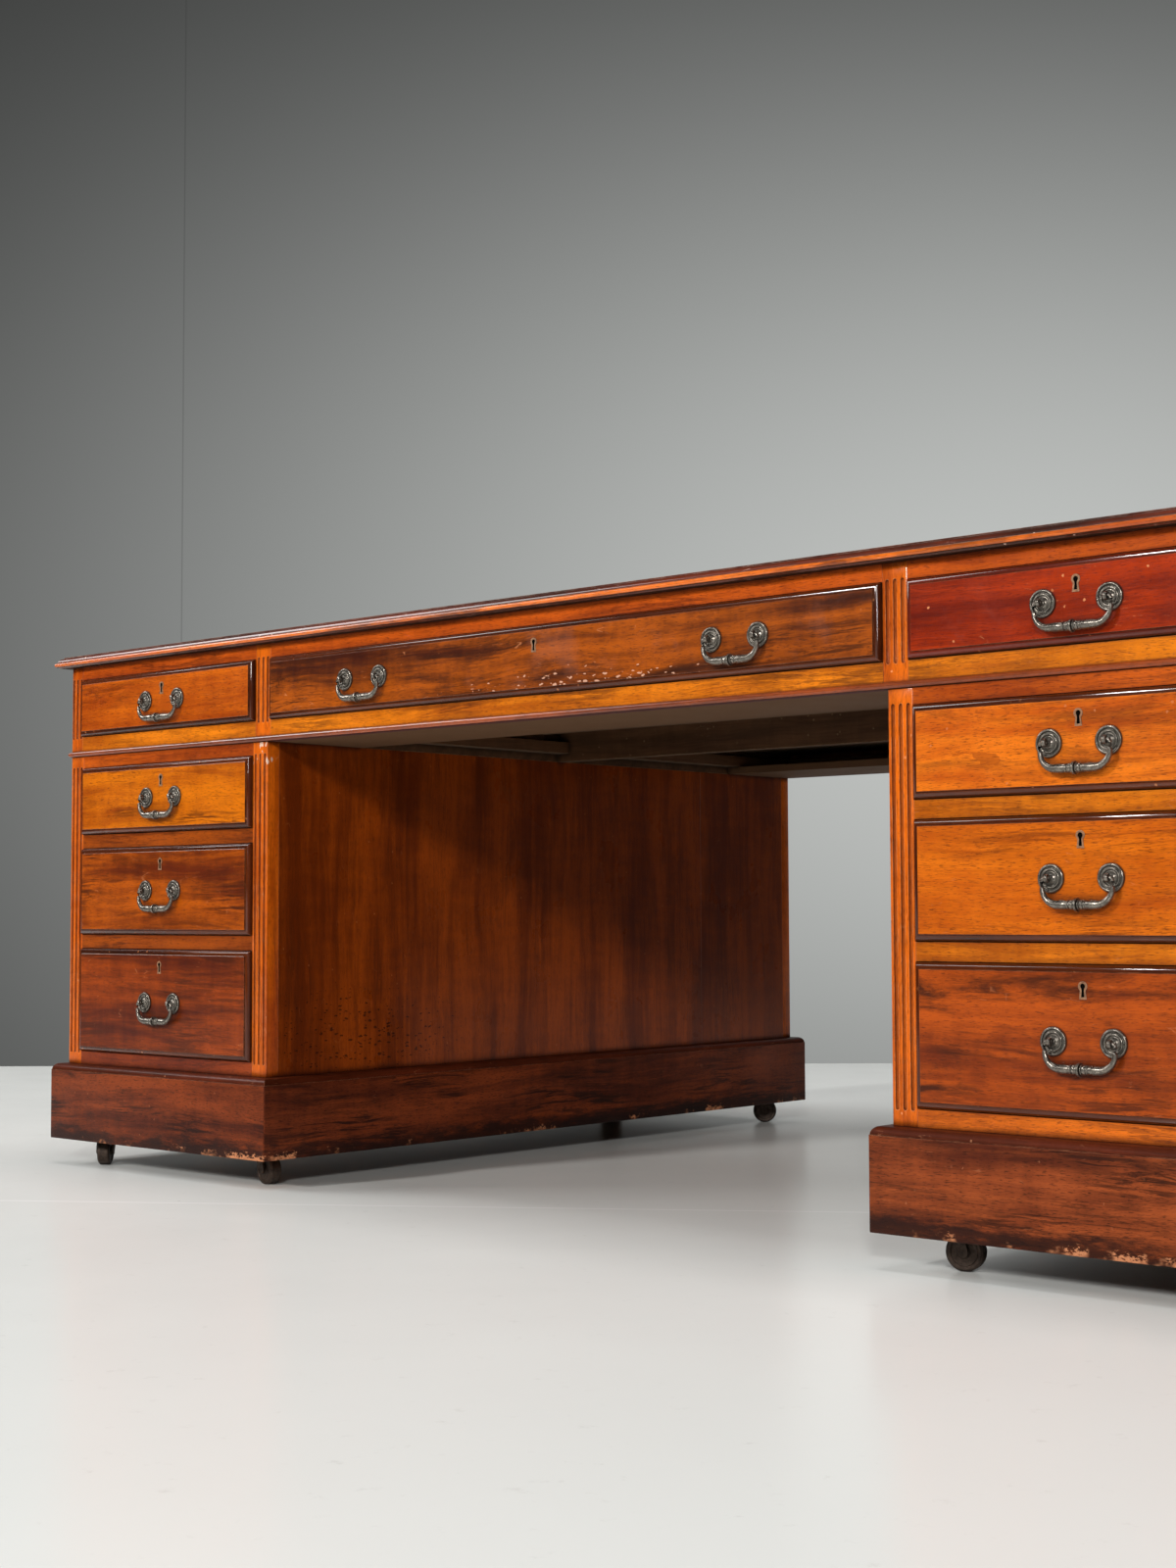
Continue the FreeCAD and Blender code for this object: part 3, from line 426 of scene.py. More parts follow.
@dataclass(frozen=True)
class WoodFinish(Finish):
    """French-polished or bare wood, with its figure, wear and soil, and painted shade in its
    hollows.
    """

    name: str
    deep: Colour
    bright: Colour
    streak: Colour = (0.050, 0.009, 0.002)
    worn: Colour = (0.62, 0.22, 0.085)
    # Near-black laid on the soil at a plinth's foot and on the painted shade in hollows and gaps.
    dirt: Colour = (0.010, 0.003, 0.002)
    smoke: Colour = (0.045, 0.010, 0.002)
    bloom: Colour = (0.42, 0.22, 0.18)
    # Colour of faces that look down: painted shade on polished mahogany, bare wood on inner boards
    # and rails.
    under: Colour = (0.045, 0.018, 0.008)
    grain: Grain = Grain.ALONG_X
    offset: float = 0.0
    streaks: float = 0.6
    clouds: float = 0.35
    blooms: float = 0.0
    pores: float = 0.5
    waviness: float = 0.03
    wear: float = 0.7
    grime: float = 0.9
    knocks: float = 0.45
    roughness: float = 0.34
    specular: float = 0.10
    coat: float = 0.22

    @property
    def title(self) -> str:
        """Name of the material, with the way of its grain."""
        return f"{self.name}_{self.grain.name.lower()}"

    def along(self, grain: Grain) -> "WoodFinish":
        """Return the same finish on a board that runs another way."""
        return replace(self, grain=grain)

    def figured(self, graph: Graph, figure: Sockets) -> Socket:
        """Colour the bare wood.

        Args:
            graph: the material's graph.
            figure: the masks of its figure.

        Returns:
            The colour.
        """
        colour = graph.blend(figure["Tone"], self.deep, self.bright)
        colour = graph.blend(1.0, colour, graph.span(figure["Line"], 0.66, 1.24), "MULTIPLY")
        for mask, share, tint in (("Cloud", self.clouds, self.smoke),
                                  ("Streak", self.streaks, self.streak),
                                  ("Pore", self.pores, self.streak)):
            colour = graph.stain(colour, figure[mask], share, tint)
        return colour

    def weathered(self, graph: Graph, colour: Socket, place: Socket) -> Socket:
        """Add what this board alone has been through; most boards have nothing of their own."""
        return colour

    def wire(self, graph: Graph) -> Node:
        """Wire the finish.

        Args:
            graph: the material's graph.

        Returns:
            The shader.
        """
        place = graph.place()
        start = (self.offset, self.offset * 0.37, self.offset * 0.71)
        turned = graph.add("ShaderNodeMapping", {"Vector": place, "Rotation": self.grain.value,
                                                 "Location": start}).outputs[0]
        figure = WoodFigure.placed(graph, Vector=turned, Waviness=self.waviness)
        wear = EdgeWear.placed(graph, Vector=turned)
        knocks = Knocks.placed(graph, Vector=turned)
        haze = graph.between(graph.noise(turned, 9.0, 5.0, 0.65), 0.52, 0.72)
        colour = graph.stain(self.figured(graph, figure), haze, self.blooms, self.bloom)
        # Faces that look down take the under colour: painted shade on the mahogany, bare wood
        # inside the case.
        facing_down = Underside.placed(graph)["Mask"]
        colour = graph.blend(facing_down, colour, self.under)
        scratch = graph.times(knocks["Scratch"], self.knocks * 0.6)
        chip = graph.times(knocks["Chip"], self.knocks)
        rubbed = graph.times(wear["Mask"], self.wear)
        for mask in (scratch, chip, rubbed):
            colour = graph.blend(mask, colour, self.worn)
        # Hollows and gaps darkened by ambient occlusion: wax and dust, and painted shade.
        soiled_and_shaded = graph.times(Grime.placed(graph, Vector=turned)["Mask"], self.grime)
        colour = graph.blend(soiled_and_shaded, self.weathered(graph, colour, place), self.dirt)
        uneven = graph.noise(turned, 11.0, 4.0, 0.6)
        gloss = graph.span(uneven, self.roughness - 0.12, self.roughness + 0.12)
        dull = graph.maths("MAXIMUM", graph.maths("MAXIMUM", rubbed, soiled_and_shaded), facing_down)
        relief = graph.maths("SUBTRACT", graph.times(figure["Line"], 0.5),
                             graph.times(figure["Pore"], 0.5))
        relief = graph.maths("SUBTRACT", relief, graph.maths("ADD", scratch, chip))
        return graph.add("ShaderNodeBsdfPrincipled", {
            "Base Color": colour, "Roughness": graph.maths("MULTIPLY_ADD", dull, 0.35, gloss),
            "Normal": graph.bump(relief, 0.22, Distance=0.0006, Normal=wear["Normal"]),
            "Specular IOR Level": self.specular, "Coat Weight": graph.span(dull, self.coat, 0.0),
            "Coat Roughness": 0.10})


@dataclass(frozen=True)
class PlinthFinish(WoodFinish):
    """Dark base board, soiled and chipped along its foot."""

    foot: float = 0.040
    left: Colour = (0.66, 0.58, 0.50)

    def weathered(self, graph: Graph, colour: Socket, place: Socket) -> Socket:
        """Darken the left plinth, and add the soil and the bare wood along the foot.

        Args:
            graph: the material's graph.
            colour: the colour so far.
            place: the place on the desk.

        Returns:
            The colour with its scuffs.
        """
        on_left = graph.maths("LESS_THAN", graph.axis(place, "X"), 0.0)
        colour = graph.blend(on_left, colour, self.left, "MULTIPLY")
        scuffs = Scuffs.placed(graph, Vector=place, Foot=self.foot)
        colour = graph.stain(colour, scuffs["Dirt"], 0.85, self.dirt)
        return graph.blend(scuffs["Bare"], colour, self.worn)


@dataclass(frozen=True)
class MarkedFinish(WoodFinish):
    """Polished wood with a patch of small dents, chips or flakes at one place."""

    mark: Colour = (0.020, 0.004, 0.001)
    mark_place: Triple = (0.0, -0.43, 0.21)
    mark_reach: Triple = (4.0, 0.33, 0.12)
    mark_cells: Triple = (40.0, 105.0, 240.0)
    mark_size: float = 0.42
    mark_share: float = 0.8

    def weathered(self, graph: Graph, colour: Socket, place: Socket) -> Socket:
        """Add the marks.

        Args:
            graph: the material's graph.
            colour: the colour so far.
            place: the place on the desk.

        Returns:
            The colour with its marks.
        """
        placed = graph.add("ShaderNodeMapping", {"Vector": place, "Location": self.mark_place,
                                                 "Scale": self.mark_reach}, vector_type="TEXTURE")
        near = graph.between(graph.vector("LENGTH", placed.outputs[0])["Value"], 1.0, 0.1)
        ragged = graph.add("ShaderNodeTexNoise", {"Vector": place, "Scale": 130.0, "Detail": 3.0})
        shaken = graph.vector("MULTIPLY_ADD", ragged.outputs["Color"], (0.006, 0.006, 0.006),
                              place)[0]
        cells = graph.cells(graph.vector("MULTIPLY", shaken, self.mark_cells)[0], 1.0)
        size = graph.times(near, self.mark_size)
        uneven = graph.times(graph.between(cells["Color"], 0.35, 0.75), size)
        marked = graph.maths("LESS_THAN", cells["Distance"], uneven)
        return graph.stain(colour, marked, self.mark_share, self.mark)


@dataclass(frozen=True)
class RailFinish(WoodFinish):
    """Rails cut from different planks, tinted in bands of height, and bare inside the case."""

    bands: tuple[tuple[float, float, Colour], ...] = ()
    left: Colour = (0.42, 0.30, 0.60)
    left_below: float = 0.6
    show_face: float = 0.610

    def weathered(self, graph: Graph, colour: Socket, place: Socket) -> Socket:
        """Tint the bands and the left pedestal's rails, and leave the inner faces bare.

        Args:
            graph: the material's graph.
            colour: the colour so far.
            place: the place on the desk.

        Returns:
            The tinted colour.
        """
        x, y, z = (graph.axis(place, name) for name in "XYZ")
        for low, high, tint in self.bands:
            inside = graph.within(z, (low + high) / 2, (high - low) / 2)
            colour = graph.blend(inside, colour, tint, "MULTIPLY")
        low = graph.maths("LESS_THAN", z, self.left_below)
        darker = graph.times(graph.maths("LESS_THAN", x, 0.0), low)
        colour = graph.blend(darker, colour, self.left, "MULTIPLY")
        inner = graph.maths("LESS_THAN", graph.maths("ABSOLUTE", y), self.show_face)
        return graph.blend(inner, colour, self.under)


@dataclass(frozen=True)
class MetalFinish(Finish):
    """Cast or rolled metal with a patina in its hollows."""

    name: str
    metal: Colour
    patina: Colour
    bright: Colour = (0.66, 0.62, 0.55)
    roughness: float = 0.34
    specular: float = 0.4
    patina_share: float = 0.6
    wear: float = 0.5
    lumps: float = 0.25
    metallic: float = 1.0

    def wire(self, graph: Graph) -> Node:
        """Wire the finish.

        Args:
            graph: the material's graph.

        Returns:
            The shader.
        """
        place = graph.place()
        wear = EdgeWear.placed(graph, Vector=place, Reach=0.0007)
        grime = Grime.placed(graph, Vector=place, Depth=0.005)["Mask"]
        patches = graph.between(graph.noise(place, 190.0, 5.0, 0.65), 0.38, 0.64)
        dull = graph.maths("MAXIMUM", graph.times(patches, self.patina_share),
                           graph.times(grime, 0.95))
        colour = graph.blend(dull, self.metal, self.patina)
        colour = graph.stain(colour, wear["Mask"], self.wear, self.bright)
        relief = graph.noise(place, 420.0, 4.0, 0.6)
        return graph.add("ShaderNodeBsdfPrincipled", {
            "Base Color": colour,
            "Roughness": graph.maths("MULTIPLY_ADD", dull, 0.25, self.roughness),
            "Metallic": graph.maths("MULTIPLY_ADD", dull, -0.3 * self.metallic, self.metallic),
            "Specular IOR Level": self.specular,
            "Normal": graph.bump(relief, self.lumps, Distance=0.0006, Normal=wear["Normal"])})


@dataclass(frozen=True)
class LeatherFinish(Finish):
    """Worn writing leather, with its grain and rubbed patches."""

    name: str
    deep: Colour
    rubbed: Colour
    crease: Colour
    specular: float = 0.25

    def wire(self, graph: Graph) -> Node:
        """Wire the finish.

        Args:
            graph: the material's graph.

        Returns:
            The shader.
        """
        place = graph.place()
        pebble = graph.between(graph.cells(place, 620.0, "DISTANCE_TO_EDGE")["Distance"], 0.0, 0.22)
        patches = graph.between(graph.noise(place, 5.0, 6.0, 0.62), 0.44, 0.70)
        spots = graph.between(graph.noise(place, 60.0, 5.0, 0.7), 0.58, 0.72)
        colour = graph.stain(graph.blend(patches, self.deep, self.rubbed), spots, 0.5, self.crease)
        return graph.add("ShaderNodeBsdfPrincipled", {
            "Base Color": graph.blend(graph.span(pebble, 0.35, 0.0), colour, self.crease),
            "Roughness": graph.span(patches, 0.42, 0.60), "Specular IOR Level": self.specular,
            "Normal": graph.bump(pebble, 0.35, Distance=0.0004)})


@dataclass(frozen=True)
class FloorFinish(Finish):
    """Pale painted floor with a low sheen, a seam between two sheets and a few specks of soil."""

    name: str
    paint: Colour
    scuffed: Colour
    seam: Colour
    roughness: float
    seam_place: Triple
    seam_turn: float
    seam_half: float = 0.004
    specular: float = 0.22

    def wire(self, graph: Graph) -> Node:
        """Wire the finish.

        Args:
            graph: the material's graph.

        Returns:
            The shader.
        """
        place = graph.place()
        scuffs = graph.between(graph.noise(place, 34.0, 5.0, 0.7), 0.60, 0.78)
        colour = graph.stain(self.paint, scuffs, 0.30, self.scuffed)
        spots = graph.cells(place, 9.0)
        speck = graph.times(graph.maths("LESS_THAN", spots["Distance"], 0.020),
                            graph.between(spots["Color"], 0.70, 0.74))
        colour = graph.stain(colour, speck, 0.6, self.scuffed)
        turned = graph.add("ShaderNodeMapping", {"Vector": place, "Location": self.seam_place,
                                                 "Rotation": (0.0, 0.0, self.seam_turn)},
                           vector_type="TEXTURE").outputs[0]
        line = graph.within(graph.axis(turned, "Y"), 0.0, self.seam_half)
        uneven = graph.noise(place, 2.2, 5.0, 0.6)
        gloss = graph.span(uneven, self.roughness - 0.04, self.roughness + 0.08)
        return graph.add("ShaderNodeBsdfPrincipled", {
            "Base Color": graph.blend(line, colour, self.seam), "Roughness": gloss,
            "Specular IOR Level": self.specular})


@dataclass(frozen=True)
class WallFinish(Finish):
    """Grey wall with a painted pool of light, which glows to the camera and in reflections instead
    of being lit, and a seam; it shows from its front only.
    """

    name: str
    dark: Colour
    light: Colour
    bounce: Colour
    centre: Vector
    turn: float
    reach: Triple
    seam: float
    fade: float = 0.43

    def wire(self, graph: Graph) -> Node:
        """Wire the finish.

        Args:
            graph: the material's graph.

        Returns:
            The shader.
        """
        # Painted light: to the camera and in reflections the wall glows brightest round a centre
        # and darkens towards its edges; other rays see plain grey paint.
        placed = graph.add("ShaderNodeMapping", {
            "Vector": graph.place(), "Location": self.centre, "Rotation": (0.0, 0.0, self.turn),
            "Scale": self.reach}, vector_type="TEXTURE").outputs[0]
        glow = graph.maths("POWER", self.fade, graph.vector("DOT_PRODUCT", placed, placed)["Value"])
        line = graph.within(graph.axis(placed, "X"), self.seam, 0.0008)
        colour = graph.stain(graph.blend(glow, self.dark, self.light), line, 0.25, self.dark)
        seen = graph.add("ShaderNodeLightPath").outputs
        shown = graph.maths("ADD", seen["Is Camera Ray"], seen["Is Glossy Ray"])
        shown = graph.maths("ADD", shown, seen["Is Transmission Ray"])
        paint = graph.add("ShaderNodeBsdfPrincipled", {"Base Color": self.bounce, "Roughness": 0.9})
        glowing = graph.add("ShaderNodeEmission", {"Color": colour})
        front = graph.add("ShaderNodeMixShader", {0: shown, 1: paint.outputs[0],
                                                  2: glowing.outputs[0]})
        clear = graph.add("ShaderNodeBsdfTransparent")
        back = graph.add("ShaderNodeNewGeometry").outputs["Backfacing"]
        return graph.add("ShaderNodeMixShader", {0: back, 1: front.outputs[0], 2: clear.outputs[0]})


MAHOGANY = WoodFinish("mahogany_frame", deep=(0.24, 0.040, 0.002), bright=(0.52, 0.115, 0.004))
RAIL = RailFinish("mahogany_rail", deep=(0.36, 0.072, 0.002), bright=(0.84, 0.225, 0.006),
                  pores=0.55, clouds=0.22, offset=3.1, streaks=0.6, under=(0.13, 0.070, 0.036),
                  bands=((0.740, 0.775, (0.72, 0.44, 1.0)), (0.611, 0.633, (0.70, 0.46, 1.0)),
                         (0.150, 0.177, (0.95, 0.75, 1.0))))
STILE = MarkedFinish("mahogany_stile", deep=(0.37, 0.050, 0.002), bright=(0.78, 0.150, 0.005),
                     worn=(0.90, 0.40, 0.18), grain=Grain.ALONG_Z, streaks=0.3, clouds=0.15,
                     wear=0.9, offset=1.3, coat=0.15, mark=(0.74, 0.56, 0.44),
                     mark_place=(-0.545, -0.625, 0.616), mark_reach=(0.030, 0.060, 0.026),
                     mark_cells=(110.0, 110.0, 70.0), mark_size=1.2)
# Near-black moulding: partly its own dark polish, partly painted shade, as on the top's ovolo.
MOULDING = replace(MAHOGANY, name="mahogany_moulding", deep=(0.026, 0.006, 0.003),
                   bright=(0.15, 0.022, 0.006), worn=(0.80, 0.56, 0.44), wear=1.0, offset=7.7,
                   clouds=0.2, knocks=1.0, under=(0.030, 0.012, 0.006), coat=0.8)
# Bright nosing: partly rubbed polish, partly painted light where it faces the lamps.
NOSING = replace(MOULDING, name="mahogany_nosing", deep=(0.40, 0.060, 0.004),
                 bright=(0.84, 0.175, 0.008), worn=(0.86, 0.42, 0.22), wear=0.4, offset=8.3,
                 knocks=0.6, clouds=0.7)
BEAD = replace(NOSING, name="mahogany_bead", deep=(0.10, 0.016, 0.003), bright=(0.34, 0.060, 0.006),
               offset=6.1, clouds=0.4, wear=0.3)
# Near-black edging round each drawer: partly a darker polish, partly painted shade for the lower
# and right-hand sides that face away from the lamps.
COCK = replace(MOULDING, name="drawer_moulding", deep=(0.022, 0.004, 0.001),
               bright=(0.11, 0.020, 0.003), worn=(0.58, 0.21, 0.08), wear=0.8, knocks=0.5,
               offset=7.1, roughness=0.26, specular=0.05)
RED_COCK = replace(COCK, name="red_drawer_moulding", deep=(0.040, 0.006, 0.003),
                   bright=(0.16, 0.016, 0.006))
BASE = replace(COCK, name="plinth_moulding", deep=(0.040, 0.008, 0.003),
               bright=(0.13, 0.022, 0.007), worn=(0.52, 0.22, 0.11), roughness=0.42, coat=0.1)
# Side panels darker than the fronts: partly their own wood, partly painted shade on the kneehole
# sides that the lamps barely reach.
SIDE = MarkedFinish("mahogany_side", deep=(0.13, 0.019, 0.001), bright=(0.33, 0.055, 0.002),
                    grain=Grain.ALONG_Z, streaks=0.35, clouds=0.2, offset=2.2, roughness=0.30,
                    coat=0.35, wear=0.4, knocks=0.2)
PLINTH = PlinthFinish("mahogany_plinth", deep=(0.090, 0.015, 0.004), bright=(0.36, 0.074, 0.016),
                      streak=(0.018, 0.004, 0.001), worn=(0.60, 0.24, 0.11), streaks=0.9,
                      clouds=0.3, smoke=(0.030, 0.007, 0.002), grime=0.8, offset=5.1,
                      roughness=0.46, coat=0.0, specular=0.12, wear=0.85, knocks=0.3, pores=0.7)
TOP = replace(MAHOGANY, name="mahogany_top", deep=(0.14, 0.028, 0.006), bright=(0.34, 0.078, 0.012),
              offset=9.4)
DOOR = replace(MAHOGANY, name="mahogany_door", offset=4.4, deep=(0.24, 0.045, 0.004),
               bright=(0.52, 0.120, 0.008))
INNER = WoodFinish("inner_wood", deep=(0.14, 0.066, 0.028), bright=(0.36, 0.190, 0.090),
                   streak=(0.060, 0.030, 0.014), worn=(0.42, 0.28, 0.16),
                   dirt=(0.020, 0.012, 0.007), smoke=(0.060, 0.030, 0.015),
                   under=(0.150, 0.095, 0.058), streaks=0.3, pores=0.3, knocks=0.2, roughness=0.62,
                   coat=0.0)
CASE = replace(INNER, name="case_wood", deep=(0.045, 0.020, 0.009), bright=(0.120, 0.055, 0.024),
               under=(0.120, 0.075, 0.046), offset=2.6)
HANDLE = MetalFinish("handle_metal", metal=(0.235, 0.210, 0.180), patina=(0.032, 0.026, 0.020),
                     bright=(0.86, 0.80, 0.70), roughness=0.24, patina_share=0.55, wear=0.7)
BRASS = MetalFinish("hinge_brass", metal=(0.60, 0.42, 0.17), patina=(0.14, 0.085, 0.035),
                    bright=(0.80, 0.62, 0.30))
STEEL = MetalFinish("lock_steel", metal=(0.38, 0.35, 0.31), patina=(0.10, 0.07, 0.045))
LINING = MetalFinish("keyhole_brass", metal=(0.34, 0.17, 0.085), patina=(0.08, 0.030, 0.014),
                     bright=(0.74, 0.50, 0.32), roughness=0.45, wear=0.8, metallic=0.4)
IRON = MetalFinish("caster_iron", metal=(0.070, 0.048, 0.036), patina=(0.018, 0.010, 0.007),
                   bright=(0.22, 0.17, 0.13), roughness=0.45, lumps=0.6, metallic=0.7, wear=0.35)
# Black sheet in each keyhole: painted shade for the hole's depth.
KEYHOLE_SHADE = MetalFinish("keyhole_painted_shade", metal=(0.004, 0.003, 0.002), patina=(0.003, 0.002, 0.002),
                      bright=(0.004, 0.003, 0.002), roughness=0.9, metallic=0.0, wear=0.0,
                      specular=0.0)
LEATHER = LeatherFinish("leather", deep=(0.022, 0.052, 0.028), rubbed=(0.036, 0.074, 0.039),
                        crease=(0.008, 0.016, 0.010))


def mitred(*woods: WoodFinish) -> list[WoodFinish]:
    """Each wood along X, then along Y, for a frame whose boards run both ways."""
    return [wood.along(grain) for wood in woods for grain in (Grain.ALONG_X, Grain.ALONG_Y)]


# ---------------------------------------------------------------- workshop

def link(name: str, data: bpy.types.ID) -> bpy.types.Object:
    """Put an object in the scene.

    Args:
        name: its name.
        data: its mesh, light or camera.

    Returns:
        The object.
    """
    item = bpy.data.objects.new(name, data)
    bpy.context.scene.collection.objects.link(item)
    return item


def node_box(node: str) -> tuple[Vector, Vector]:
    """Lowest and highest corner of a node, in millimetres."""
    low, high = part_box(node)
    return low / MM, high / MM


def pivot(node: str) -> Vector:
    """Where a moving piece has its joint, in millimetres."""
    return Vector(JOINTS[node]["pos_m"]) / MM


def shift(x: float, y: float, z: float) -> Matrix:
    """Move by a distance along each axis."""
    return Matrix.Translation((x, y, z))


def turn(angle: float, axis: str) -> Matrix:
    """Turn about an axis through the origin."""
    return Matrix.Rotation(angle, 4, axis)


def along_y(face: Face) -> float:
    """Where the middle of a face is along Y."""
    return face.calc_center_median().y


def arc(centre: tuple[float, float], radius: float, start: float, end: float,
        steps: int = 8) -> Profile:
    """Points of an arc.

    Args:
        centre: its centre.
        radius: its radius.
        start: the angle of its first point, in degrees.
        end: the angle of its last point.
        steps: how many chords it has.

    Returns:
        The points, in order.
    """
    angles = [math.radians(start + (end - start) * i / steps) for i in range(steps + 1)]
    return [(centre[0] + radius * math.cos(a), centre[1] + radius * math.sin(a)) for a in angles]


class Workshop:
    """Mesh operations that the pieces share; lengths are millimetres."""

    @staticmethod
    def box(shape: Shape, low: Vector, high: Vector) -> list[Vert]:
        """Add a box.

        Args:
            shape: the mesh that gets the box.
            low: its lowest corner.
            high: its highest corner.

        Returns:
            Its vertices.
        """
        low, high = Vector(low), Vector(high)
        matrix = Matrix.Translation((low + high) / 2) @ Matrix.Diagonal((*(high - low), 1.0))
        return bmesh.ops.create_cube(shape, size=1.0, matrix=matrix)["verts"]

    @staticmethod
    def board(shape: Shape, low: Vector, high: Vector, arris: float) -> None:
        """Add a box whose edges are eased.

        Args:
            shape: the mesh that gets the board.
            low: its lowest corner.
            high: its highest corner.
            arris: how far its edges are rounded.
        """
        corners = Workshop.box(shape, low, high)
        edges = list({edge for vert in corners for edge in vert.link_edges})
        Workshop.round_off(shape, edges, arris)

    @staticmethod
    def round_off(shape: Shape, edges: list[Edge], width: float, segments: int = 2) -> None:
        """Round edges over."""
        bmesh.ops.bevel(shape, geom=edges, offset=width, offset_type="OFFSET", affect="EDGES",
                        segments=segments, profile=0.5, material=-1, clamp_overlap=True)

    @staticmethod
    def inset(shape: Shape, face: Face, run: float, rise: float) -> list[Face]:
        """Draw a face in and raise it; return the faces round it."""
        return bmesh.ops.inset_region(shape, faces=[face], thickness=run, depth=rise,
                                      use_even_offset=True, use_boundary=True)["faces"]

    @staticmethod
    def pick(made: list, kind: type) -> list:
        """The vertices, or the edges, among what an operator made."""
        return [item for item in made if isinstance(item, kind)]

    @staticmethod
    def outward(shape: Shape) -> Shape:
        """Turn the faces of a mesh outwards, and return it."""
        bmesh.ops.recalc_face_normals(shape, faces=shape.faces)
        return shape

    @staticmethod
    def moved(shape: Shape, matrix: Matrix) -> Shape:
        """Move a whole mesh, and return it."""
        bmesh.ops.transform(shape, matrix=matrix, verts=shape.verts)
        return shape

    @staticmethod
    def chain(shape: Shape, points: list[Triple],
              closed: bool = True) -> tuple[list[Vert], list[Edge]]:
        """Join points with edges.

        Args:
            shape: the mesh that gets them.
            points: the points, in order.
            closed: whether the last point is joined to the first.

        Returns:
            The vertices and the edges.
        """
        verts = [shape.verts.new(point) for point in points]
        ends = verts[1:] + (verts[:1] if closed else [])
        return verts, [shape.edges.new(pair) for pair in zip(verts, ends)]

    @staticmethod
    def turned(shape: Shape, profile: Profile, matrix: Matrix, steps: int) -> None:
        """Turn a profile round the Z axis of a matrix.

        Args:
            shape: the mesh that gets the turning.
            profile: its radius and height at each point, in order.
            matrix: where the turning stands.
            steps: facets round it.
        """
        section = [(radius, 0.0, height) for radius, height in profile]
        verts, edges = Workshop.chain(shape, section, closed=False)
        before = set(shape.verts) - set(verts)
        bmesh.ops.spin(shape, geom=verts + edges, cent=(0, 0, 0), axis=(0, 0, 1), dvec=(0, 0, 0),
                       angle=math.tau, steps=steps, use_merge=True, use_duplicate=False)
        made = [vert for vert in shape.verts if vert not in before]
        bmesh.ops.remove_doubles(shape, verts=made, dist=WELD)
        made = [vert for vert in shape.verts if vert not in before]
        bmesh.ops.transform(shape, matrix=matrix, verts=made)

    @staticmethod
    def swept(shape: Shape, path: list[tuple[Vector, Vector, float]], sides: int) -> None:
        """Sweep a circle of changing radius along a path in the XZ plane.

        Args:
            shape: the mesh that gets the sweep.
            path: centre, direction and radius at each station.
            sides: facets round it.
        """
        placed = [Matrix.Translation(centre) @ way.to_track_quat("Z", "Y").to_matrix().to_4x4()
                  @ Matrix.Diagonal((radius, radius, 1.0, 1.0)) for centre, way, radius in path]
        ring = bmesh.ops.create_circle(shape, segments=sides, radius=1.0, matrix=placed[0])["verts"]
        first = edges = list({edge for vert in ring for edge in vert.link_edges})
        for previous, current in zip(placed, placed[1:]):
            made = bmesh.ops.extrude_edge_only(shape, edges=edges)["geom"]
            edges = Workshop.pick(made, Edge)
            bmesh.ops.transform(shape, matrix=current @ previous.inverted(),
                                verts=Workshop.pick(made, Vert))
        for end in (first, edges):
            bmesh.ops.holes_fill(shape, edges=end, sides=sides)

    @staticmethod
    def ring(half_x: float, half_y: float, profile: Profile) -> Shape:
        """Mitre a closed moulding profile round a rectangle about the origin.

        Args:
            half_x: half the rectangle's width.
            half_y: half its depth.
            profile: how far out and how high each point of the section is.

        Returns:
            The ring, with the boards along Y in the second material place.
        """
        shape = bmesh.new()
        out, height = profile[0]
        corners = [(x * (half_x + out), y * (half_y + out), height)
                   for x, y in ((-1, -1), (1, -1), (1, 1), (-1, 1))]
        edges = Workshop.chain(shape, corners)[1]
        for out, height in profile[1:] + profile[:1]:
            made = bmesh.ops.extrude_edge_only(shape, edges=edges)["geom"]
            edges = Workshop.pick(made, Edge)
            for vert in Workshop.pick(made, Vert):
                vert.co = (math.copysign(half_x + out, vert.co.x),
                           math.copysign(half_y + out, vert.co.y), height)
        bmesh.ops.remove_doubles(shape, verts=shape.verts, dist=WELD)
        for face in Workshop.outward(shape).faces:
            middle = face.calc_center_median()
            face.material_index = int(abs(middle.x) - half_x > abs(middle.y) - half_y)
        return shape

    @staticmethod
    def to_mesh(shape: Shape, name: str) -> bpy.types.Mesh:
        """Turn a bmesh into a mesh of the file.

        Args:
            shape: the bmesh, which is freed.
            name: the mesh's name.

        Returns:
            The mesh.
        """
        mesh = bpy.data.meshes.new(name)
        shape.to_mesh(mesh)
        shape.free()
        return mesh

    @staticmethod
    def merged(shape: Shape, spots: list[Matrix]) -> Shape:
        """Repeat a mesh.

        Args:
            shape: the mesh, which is freed.
            spots: where its copies stand.

        Returns:
            The copies, as one mesh.
        """
        mesh = Workshop.to_mesh(shape, "copy")
        copies = bmesh.new()
        for spot in spots:
            known = len(copies.verts)
            copies.from_mesh(mesh)
            copies.verts.ensure_lookup_table()
            bmesh.ops.transform(copies, matrix=spot, verts=copies.verts[known:])
        bpy.data.meshes.remove(mesh)
        return copies

    @staticmethod
    def joined(shapes: list[Shape]) -> Shape:
        """Join meshes.

        Args:
            shapes: the meshes, in place, which are freed.

        Returns:
            All of them, as one mesh.
        """
        whole = bmesh.new()
        for shape in shapes:
            mesh = Workshop.to_mesh(shape, "copy")
            whole.from_mesh(mesh)
            bpy.data.meshes.remove(mesh)
        return whole

